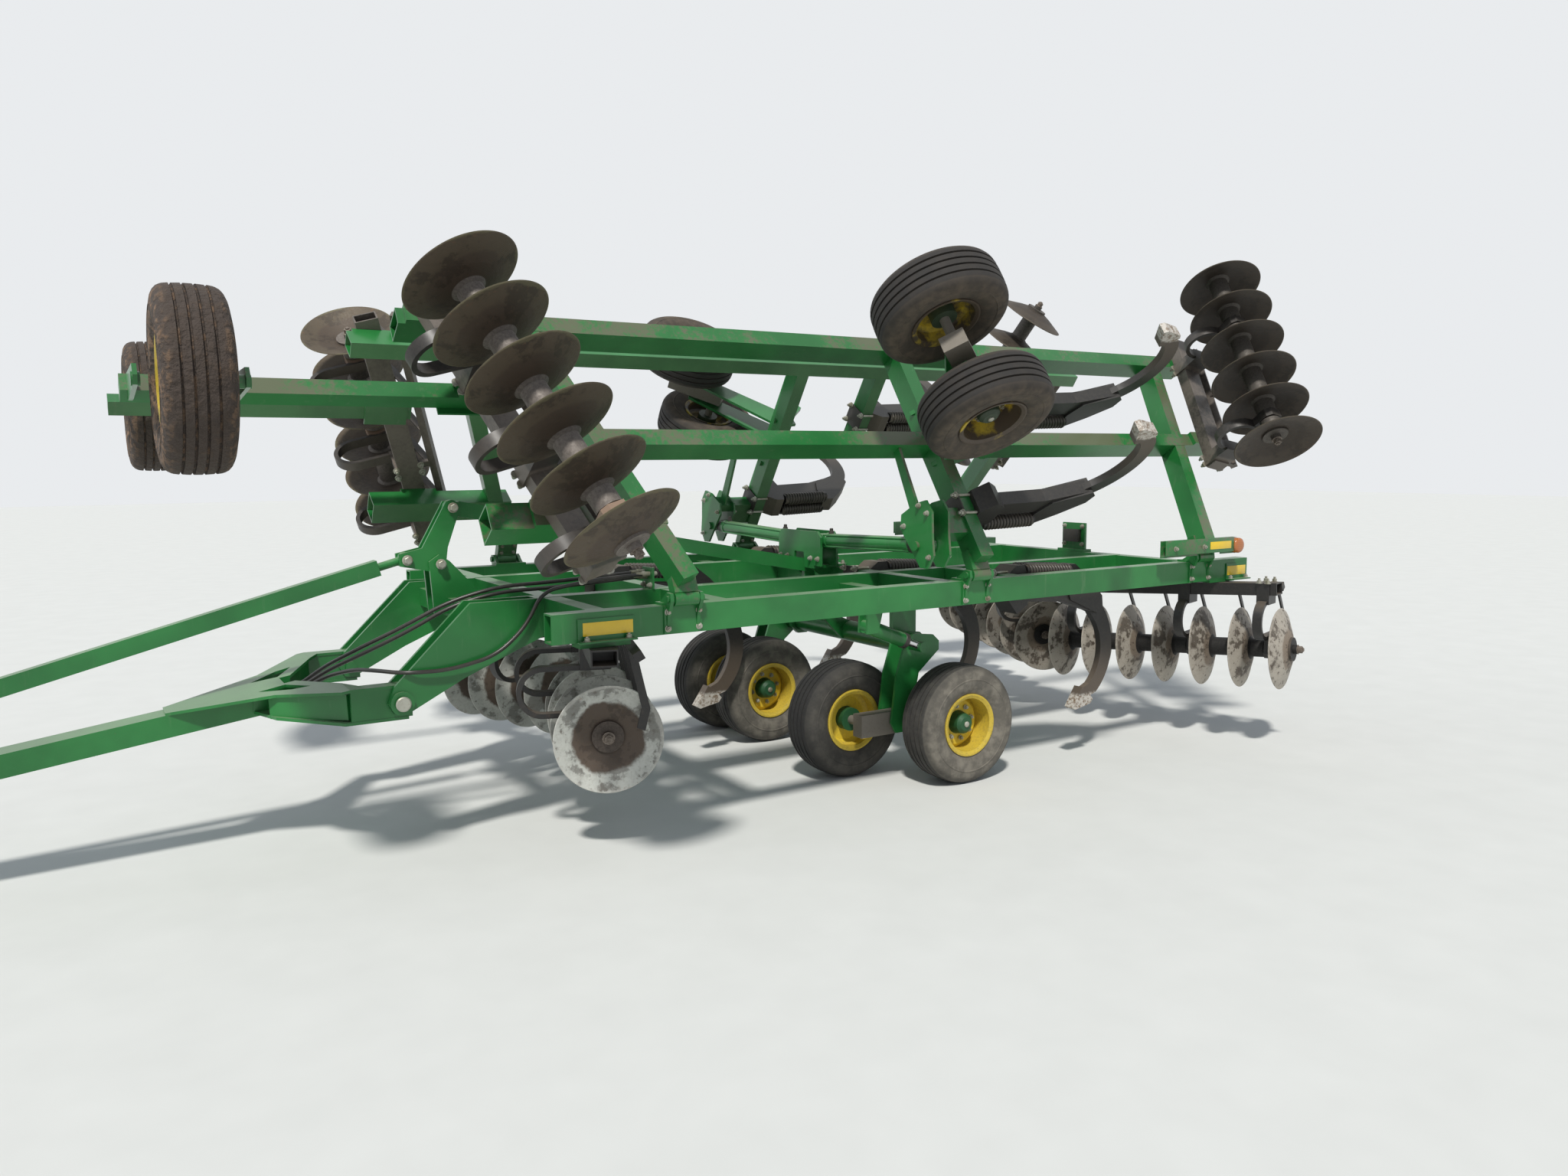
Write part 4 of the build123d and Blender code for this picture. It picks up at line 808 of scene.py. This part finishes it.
# Rippers: places of their cross tubes; springs, U rods, nuts and clamp plate round a tube.
RIPPERS = {
    "centre": ((0.420, -0.381), (-1.200, 0.381), (-1.200, -1.143), (-1.780, 1.143)),
    "wing": ((-1.360, 0.430), (-2.100, 1.230)),
}
SPRING_START = (-0.235, 0.080)
SPRING_END = (-0.628, 0.057)
SPRING_OUT = 0.052
SPRING_R = 0.0430
SPRING_WIRE = 0.0082
WINDS = 15
TUBE_HALF = 0.051
PLATE_TALL = 0.098
PLATE_WIDE = 0.080
PLATE_THICK = 0.012
ROD_OUT = 0.064
ROD_RISE = 0.083
U_ROD = [(0.0, 0.0), (0.0080, 0.0), (0.0090, 0.001), (0.0090, 0.119), (0.0080, 0.120), (0.0, 0.120)]
spring_long = math.hypot(SPRING_END[0] - SPRING_START[0], SPRING_END[1] - SPRING_START[1])
spring_pattern = coil("spring_pattern", SPRING_R, SPRING_WIRE, spring_long / WINDS, WINDS)
clamp_nut = hex_bolt("clamp_nut", across=0.030, stud=0.014)
clamp_plate = block("clamp_plate", (-PLATE_TALL, -PLATE_WIDE, 0.0), (PLATE_TALL, PLATE_WIDE, PLATE_THICK),
                    bevel=0.003, material=None)
u_rod = turned("u_rod", U_ROD, steps=10)


def ripper_trim(place, spots, level, body, name, sign):
    """Springs and clamps of the rippers on one body."""
    springs, nuts, rods, plates = [], [], [], []
    front, left, up = ways(place)
    for x, y in spots:
        for out in (-SPRING_OUT, SPRING_OUT):
            low = place(x + SPRING_START[0], y + out, level + SPRING_START[1])
            high = place(x + SPRING_END[0], y + out, level + SPRING_END[1])
            springs.append(flipped(stand(low, high - low), sign))
        for out in (-ROD_OUT, ROD_OUT):
            for rise in (-ROD_RISE, ROD_RISE):
                rods.append(flipped(stand(place(x - TUBE_HALF, y + out, level + rise), front), sign))
                face = place(x + TUBE_HALF + PLATE_THICK, y + out, level + rise)
                nuts.append(flipped(stand(face, front), sign))
        middle = place(x + TUBE_HALF, y, level)
        plates.append(flipped(Matrix((
            (up.x, left.x, front.x, middle.x),
            (up.y, left.y, front.y, middle.y),
            (up.z, left.z, front.z, middle.z),
            (0, 0, 0, 1),
        )), sign))
    copies(name + "_clamp_plates", clamp_plate, plates, body, soot)
    copies(name + "_springs", spring_pattern, springs, body, spring_black)
    copies(name + "_u_rods", u_rod, rods, body, bolt_zinc)
    copies(name + "_u_nuts", clamp_nut, nuts, body, bolt_zinc)


ripper_trim(base, RIPPERS["centre"], FRAME_Z, "centre", "ripper_centre", 1)
for side, sign in SIDES:
    ripper_trim(wing, RIPPERS["wing"], WING_Z, "wing_" + side, "ripper_wing_" + side, sign)

# clamps over the toolbars, end nuts of the gangs
SPRING_TOP = 0.380
BAR_HALF = 0.045
CLAMP_STEP = 0.082
CLAMP_OUT = 0.030
END_NUT_OUT = 0.049
end_nut = hex_bolt("end_nut", across=0.046, stud=0.008)


def clamp_seats(gang):
    """Four nuts on top of each clamp of a gang."""
    place, first, last, count, bar_start, bar_end, hangers = GANGS[gang]
    first, last, bar_start = Vector(first), Vector(last), Vector(bar_start)
    along = (last - first).normalized()
    ahead = Vector(UP).cross(along)
    if ahead.x < 0:
        ahead = -ahead
    way = (Vector(bar_end) - bar_start).normalized()
    seats = []
    for hanger in hangers:
        spot = first + (last - first) * (hanger / (count - 1))
        over = bar_start + way * (spot - bar_start).dot(way)
        lead = (over - spot).dot(ahead)
        top = max(spot.z + SPRING_TOP, over.z + BAR_HALF)
        for step in (-CLAMP_STEP, CLAMP_STEP):
            for out in (-CLAMP_OUT, CLAMP_OUT):
                at = spot + ahead * (lead + step) + along * out
                seats.append(stand(place(at.x, at.y, top), ways(place)[2]))
    return seats


for gang, (place, first, last, *_) in GANGS.items():
    low, high = place(*first), place(*last)
    axle = (high - low).normalized()
    ends = [stand(low - axle * END_NUT_OUT, -axle), stand(high + axle * END_NUT_OUT, axle)]
    seats = clamp_seats(gang)
    for side, sign in SIDES:
        which = gang + "_" + side
        body = "wing_" + side if "wing" in gang else "centre"
        copies("clamp_nuts_" + which, clamp_nut, [flipped(seat, sign) for seat in seats], body,
               bolt_zinc)
        copies("gang_nuts_" + which, end_nut, [flipped(seat, sign) for seat in ends], "gang_" + which,
               nut_brown)

# bolts of the frame
STAND_BOLTS = [(x + step, z) for x in HINGES for step in (-0.092, 0.092) for z in (1.262, 1.350)]
STAND_FACE_Y = 1.4312
FLANGE_BOLTS_X = (1.025, 1.255, -4.035, -3.855)
FLANGE_BOLT_Y = 1.4500
FLANGE_TOP_Z = 1.2382
MAST_BOLTS_Y = (0.150, 0.240)
MAST_BOLT_Z = 1.450
MAST_HALF = 0.0752
FOOT_BOLTS = [(x, y) for x in (-1.225, -1.170) for y in (0.088, 0.172)]
FOOT_TOP_Z = 1.4002
COUPLING_FACE_X = 0.5262
COUPLING_BOLTS_Y = (0.590, 0.672)
COUPLING_BOLT_Z = 1.405
REAR_FACE_X = -3.5098
REAR_BOLTS = [(y, z) for z in (1.440, 1.585) for y in (0.115, 0.305)]
LINK_PINS = ((1.595, 0.0900, 1.545), (1.780, 0.0620, 1.575), (1.505, 0.0620, 1.872), (4.775, 0.0800, 0.775))
FOLD_PLATE_HALF = 0.0722
FOLD_PLATE_BOLTS = ((0.395, 0.045), (0.425, -0.150), (0.345, -0.190), (0.110, -0.060))
KNUCKLE_BOLTS = [(x + step, y) for x in HINGES for step in (-0.045, 0.045) for y in (0.070, 0.125)]
KNUCKLE_TOP = (0.020, 0.013)
KNUCKLE_FALL = 0.138
BOARD_BOLTS_X = (-3.110, -3.420)
BOARD_BOLT_Z = 1.500
BOARD_FACE_Y = 1.5370
BOLT_LIFT = 0.0002
frame_bolt = hex_bolt("frame_bolt", across=0.024, stud=0.007)
pin_head = hex_bolt("pin_head", across=0.040)


def side_bolts(sign):
    """Bolts of the hinge stands, the reflector flanges and the fold mast on one side."""
    seats = [stand(base(x, sign * STAND_FACE_Y, z), (0, sign, 0)) for x, z in STAND_BOLTS]
    seats += [stand(base(x, sign * FLANGE_BOLT_Y, FLANGE_TOP_Z), UP) for x in FLANGE_BOLTS_X]
    for y in MAST_BOLTS_Y:
        for face in (1, -1):
            seats.append(stand(base(FOLD_X + face * MAST_HALF, sign * y, MAST_BOLT_Z), (face, 0, 0)))
    return seats + [stand(base(x, sign * y, FOOT_TOP_Z), UP) for x, y in FOOT_BOLTS]


def wing_bolts(sign):
    """Bolts of the fold plates, the hinge knuckles and the lamp board on one wing."""
    seats = [stand(wing(FOLD_X + face * FOLD_PLATE_HALF, y, z), (face, 0, 0))
             for face in (-1, 1) for y, z in FOLD_PLATE_BOLTS]
    from_y, from_z = KNUCKLE_TOP
    seats += [stand(wing(x, y, from_z - KNUCKLE_FALL * (y - from_y)), wing_way(0, 0, 1))
              for x, y in KNUCKLE_BOLTS]
    seats += [stand(base(x, BOARD_FACE_Y + BOLT_LIFT, BOARD_BOLT_Z), (0, 1, 0)) for x in BOARD_BOLTS_X]
    return [flipped(seat, sign) for seat in seats]


frame_seats = side_bolts(1) + side_bolts(-1)
frame_seats += [stand(base(COUPLING_FACE_X, y, COUPLING_BOLT_Z), (1, 0, 0)) for y in COUPLING_BOLTS_Y]
frame_seats += [stand(base(REAR_FACE_X, y, z), (1, 0, 0)) for y, z in REAR_BOLTS]
copies("frame_bolts", frame_bolt, frame_seats, "centre", bolt_zinc)
pin_seats = [stand(base(x, sign * y, z), (0, sign, 0)) for _, sign in SIDES for x, y, z in LINK_PINS]
copies("pin_heads", pin_head, pin_seats, "centre", bolt_zinc)
for side, sign in SIDES:
    copies("wing_bolts_" + side, frame_bolt, wing_bolts(sign), "wing_" + side, bolt_zinc)

# yellow reflectors and amber lamps
FLANGES_X = ((0.985, 1.295), (-4.060, -3.830))
FLANGE_Y = (1.4210, 1.4740)
FLANGE_Z = (1.2280, 1.2380)
STRIPES_X = ((0.992, 1.268), (-4.052, -3.838))
STRIPE_FACE_Y = 1.4290
STRIPE_Z = (1.262, 1.330)
FOIL_THICK = 0.0016
FOIL_EDGE = 0.0006
BOARD_X = (-3.758, -3.010)
BOARD_Y = (1.5300, BOARD_FACE_Y)
BOARD_Z = (1.453, 1.559)
BOARD_STRIPE_X = (-3.725, -3.490)
BOARD_STRIPE_Z = (1.478, 1.532)
LUGS_X = (-3.200, -3.740)
LUG_WIDE = 0.040
LUG_Y = (1.503, 1.531)
LUG_Z = (1.468, 1.545)
LAMP_AT = base(-3.815, 1.500, 1.494)
LAMP_SHELL = [
    (0.0, 0.0), (0.0560, 0.0), (0.0560, 0.034), (0.0535, 0.042), (0.0460, 0.0475), (0.0300, 0.0495),
    (0.0, 0.0500),
]
LAMP_BAND = [(0.0500, -0.005), (0.0585, -0.005), (0.0585, 0.005), (0.0500, 0.005)]
lamp_shell = turned("lamp_shell", LAMP_SHELL, steps=36, angle=40.0)
lamp_band = turned("lamp_band", LAMP_BAND, steps=36, angle=30.0)
for side, sign in SIDES:
    flanges = [slab("flange", sign, ends, FLANGE_Y, FLANGE_Z, bevel=0.0015, material=green)
               for ends in FLANGES_X]
    joined("reflector_flanges_" + side, flanges, "centre")
    face = (STRIPE_FACE_Y, STRIPE_FACE_Y + FOIL_THICK)
    stripes = [slab("stripe", sign, ends, face, STRIPE_Z, FOIL_EDGE, foil) for ends in STRIPES_X]
    joined("rail_reflectors_" + side, stripes, "centre")
    paint = wing_green[side]
    board = [slab("board", sign, BOARD_X, BOARD_Y, BOARD_Z, bevel=0.0012, material=paint)]
    board += [slab("lug", sign, (x, x + LUG_WIDE), LUG_Y, LUG_Z, bevel=0.001, material=paint) for x in LUGS_X]
    joined("lamp_board_" + side, board, "wing_" + side)
    face = (BOARD_FACE_Y, BOARD_FACE_Y + FOIL_THICK)
    stripe = slab("stripe", sign, BOARD_STRIPE_X, face, BOARD_STRIPE_Z, FOIL_EDGE, foil)
    joined("lamp_reflector_" + side, [stripe], "wing_" + side)
    shells = [flipped(stand(LAMP_AT, (0, way, 0)), sign) for way in (1, -1)]
    copies("lamp_lenses_" + side, lamp_shell, shells, "wing_" + side, amber)
    copies("lamp_band_" + side, lamp_band, shells[:1], "wing_" + side, soot)

# fold cylinders: gland rings, tie rods, ports
FOLD_BASE = base(FOLD_X, 0.200, 1.575)
FOLD_PIN = base(FOLD_X, 1.3182, 1.6086)
GLAND_AT = 0.999
CAPS_AT = (0.055, 0.955)
PORTS_AT = (0.100, 0.930)
TIES_AT = 0.058
TIE_CIRCLE = 0.0535
TIE_TURNS = (45, 135, 225, 315)
PORT_RISE = 0.049
PORT = [
    (0.0, 0.0), (0.018, 0.0), (0.018, 0.016), (0.013, 0.020), (0.013, 0.034), (0.009, 0.038), (0.0, 0.038),
]
fold_way = (FOLD_PIN - FOLD_BASE).normalized()
gland = turned("gland", ring_rows(inner=0.026, outer=0.054, long=0.046), steps=32, angle=30.0)
cap_ring = turned("cap_ring", ring_rows(inner=0.046, outer=0.055, long=0.040), steps=32, angle=30.0)
tie = turned("tie", [(0.0, 0.0), (0.0065, 0.0), (0.0065, 0.940), (0.0, 0.940)], steps=10)
port = turned("port", PORT, steps=16)


def fold_seat(at, sign):
    """A seat on the line of a fold cylinder, at a distance from its base."""
    return flipped(stand(FOLD_BASE + fold_way * at, fold_way), sign)


rise = Vector((0, -fold_way.z, fold_way.y))
for side, sign in SIDES:
    body = "fold_barrel_" + side
    copies("fold_gland_" + side, gland, [fold_seat(GLAND_AT, sign)], body, soot)
    copies("fold_caps_" + side, cap_ring, [fold_seat(at, sign) for at in CAPS_AT], body, green)
    ties = [round_seat(fold_seat(TIES_AT, sign), turn, TIE_CIRCLE) for turn in TIE_TURNS]
    copies("fold_ties_" + side, tie, ties, body, green)
    ports = [flipped(stand(FOLD_BASE + fold_way * at + rise * PORT_RISE, rise), sign) for at in PORTS_AT]
    copies("fold_ports_" + side, port, ports, body, soot)

# lift cylinders: chrome sleeve and gland
LIFT_FOOT = base(-1.260, 1.000, 0.911)
LIFT_MIDDLE = base(-1.130, 1.000, 0.962)
LIFT_HEAD = base(-0.810, 1.000, 1.088)
SLEEVE_FROM = 0.024
GLAND_BACK = 0.012
sleeve = turned("sleeve", ring_rows(inner=0.018, outer=0.0246, long=0.112, soft=0.001), steps=24, angle=30.0)
lift_gland = turned("lift_gland", ring_rows(inner=0.026, outer=0.052, long=0.036), steps=32, angle=30.0)
rod_way = (LIFT_MIDDLE - LIFT_FOOT).normalized()
lift_way = (LIFT_HEAD - LIFT_MIDDLE).normalized()
sleeves = [flipped(stand(LIFT_FOOT + rod_way * SLEEVE_FROM, rod_way), sign) for _, sign in SIDES]
glands = [flipped(stand(LIFT_MIDDLE - lift_way * GLAND_BACK, lift_way), sign) for _, sign in SIDES]
copies("lift_rods", sleeve, sleeves, "centre", rod_chrome)
copies("lift_glands", lift_gland, glands, "centre", soot)

# hose couplings on both faces of their plate
HOSE_ENDS = ((0.655, 1.472), (0.615, 1.455), (0.585, 1.480))
COUPLING_X = 0.5245
TAIL_X = 0.5145
COUPLING = [
    (0.0, -0.004), (0.0145, -0.004), (0.0145, 0.030), (0.0175, 0.032), (0.0175, 0.048), (0.0130, 0.052),
    (0.0130, 0.090), (0.0, 0.090),
]
coupling = turned("coupling", COUPLING, steps=16, angle=30.0)
front_seats = [stand(base(COUPLING_X, y, z), (1, 0, 0)) for y, z in HOSE_ENDS]
rear_seats = [stand(base(TAIL_X, y, z), (-1, 0, 0)) for y, z in HOSE_ENDS]
copies("hose_couplings", coupling, front_seats, "centre", bolt_zinc)
copies("hose_tails", port, rear_seats, "centre", bolt_zinc)

# small box on the rear plate
BOX_LOW = base(-3.510, 0.130, 1.460)
BOX_HIGH = base(-3.470, 0.290, 1.560)
rear_box = block("rear_box", BOX_LOW, BOX_HIGH, bevel=0.004, material=soot)
joined("rear_box", [rear_box], "centre")

# caps of the hitch pins
PIN_CAP_X = 2.000
PIN_CAP_Y = 0.748
PIN_CAP_Z = 0.880
PIN_CAP = [(0.0, -0.002), (0.040, -0.002), (0.040, 0.006), (0.034, 0.011), (0.0, 0.011)]
pin_cap = turned("pin_cap", PIN_CAP, steps=28)
pin_caps = [stand(base(PIN_CAP_X, sign * PIN_CAP_Y, PIN_CAP_Z), (0, sign, 0)) for _, sign in SIDES]
copies("hitch_pin_caps", pin_cap, pin_caps, "centre", bolt_zinc)

for pattern in (tyre_pattern, wheel_bolt, cap_tip, spring_pattern, clamp_nut, clamp_plate, u_rod, end_nut,
                frame_bolt, pin_head, lamp_shell, lamp_band, gland, cap_ring, tie, port, sleeve, lift_gland,
                coupling, pin_cap):
    bpy.data.objects.remove(pattern)

# floor
deselect()
bpy.ops.mesh.primitive_plane_add(size=120.0)
floor = bpy.context.object
floor.name = "floor"
ground = Finish("floor_pale", roughness=0.9)
pale = ground.mix(ground.noise(3.0, 2.0), (0.62, 0.63, 0.61), (0.68, 0.69, 0.67))
floor.data.materials.append(ground.paint(pale))

# sky: soft light on the object, a pale backdrop for camera, mirror and glass rays
world = bpy.context.scene.world or bpy.data.worlds.new("sky")
bpy.context.scene.world = world
world.use_nodes = True
world.node_tree.nodes.clear()
sky = Nodes(world.node_tree)
lit = sky.node("ShaderNodeBackground", {}, {"Color": (0.80, 0.88, 1.0), "Strength": 0.42})
seen = sky.node("ShaderNodeBackground", {}, {"Color": (0.86, 0.88, 0.90), "Strength": 0.95})
ray = sky.node("ShaderNodeLightPath", {}, {}, out="Is Camera Ray")
pale_rays = ray.most(ray.out("Is Glossy Ray")).most(ray.out("Is Transmission Ray"))
both = sky.node("ShaderNodeMixShader", {}, (pale_rays, lit, seen))
sky.feed(world.node_tree.nodes.new("ShaderNodeOutputWorld").inputs["Surface"], both)


def sun(name, way, strength, spread, colour):
    """Light from far away that shines along a direction."""
    lamp = bpy.data.lights.new(name, "SUN")
    lamp.energy = strength
    lamp.angle = math.radians(spread)
    lamp.color = colour
    made = bpy.data.objects.new(name, lamp)
    bpy.context.scene.collection.objects.link(made)
    made.rotation_euler = Vector(way).to_track_quat("-Z", "Y").to_euler()


sun("key_light", way=(-0.45, -0.55, -1.0), strength=3.2, spread=5.0, colour=(1.0, 0.97, 0.92))
sun("fill_light", way=(-0.9, 0.5, -0.6), strength=0.35, spread=40.0, colour=(0.9, 0.95, 1.0))
bpy.context.scene.view_settings.view_transform = "Standard"
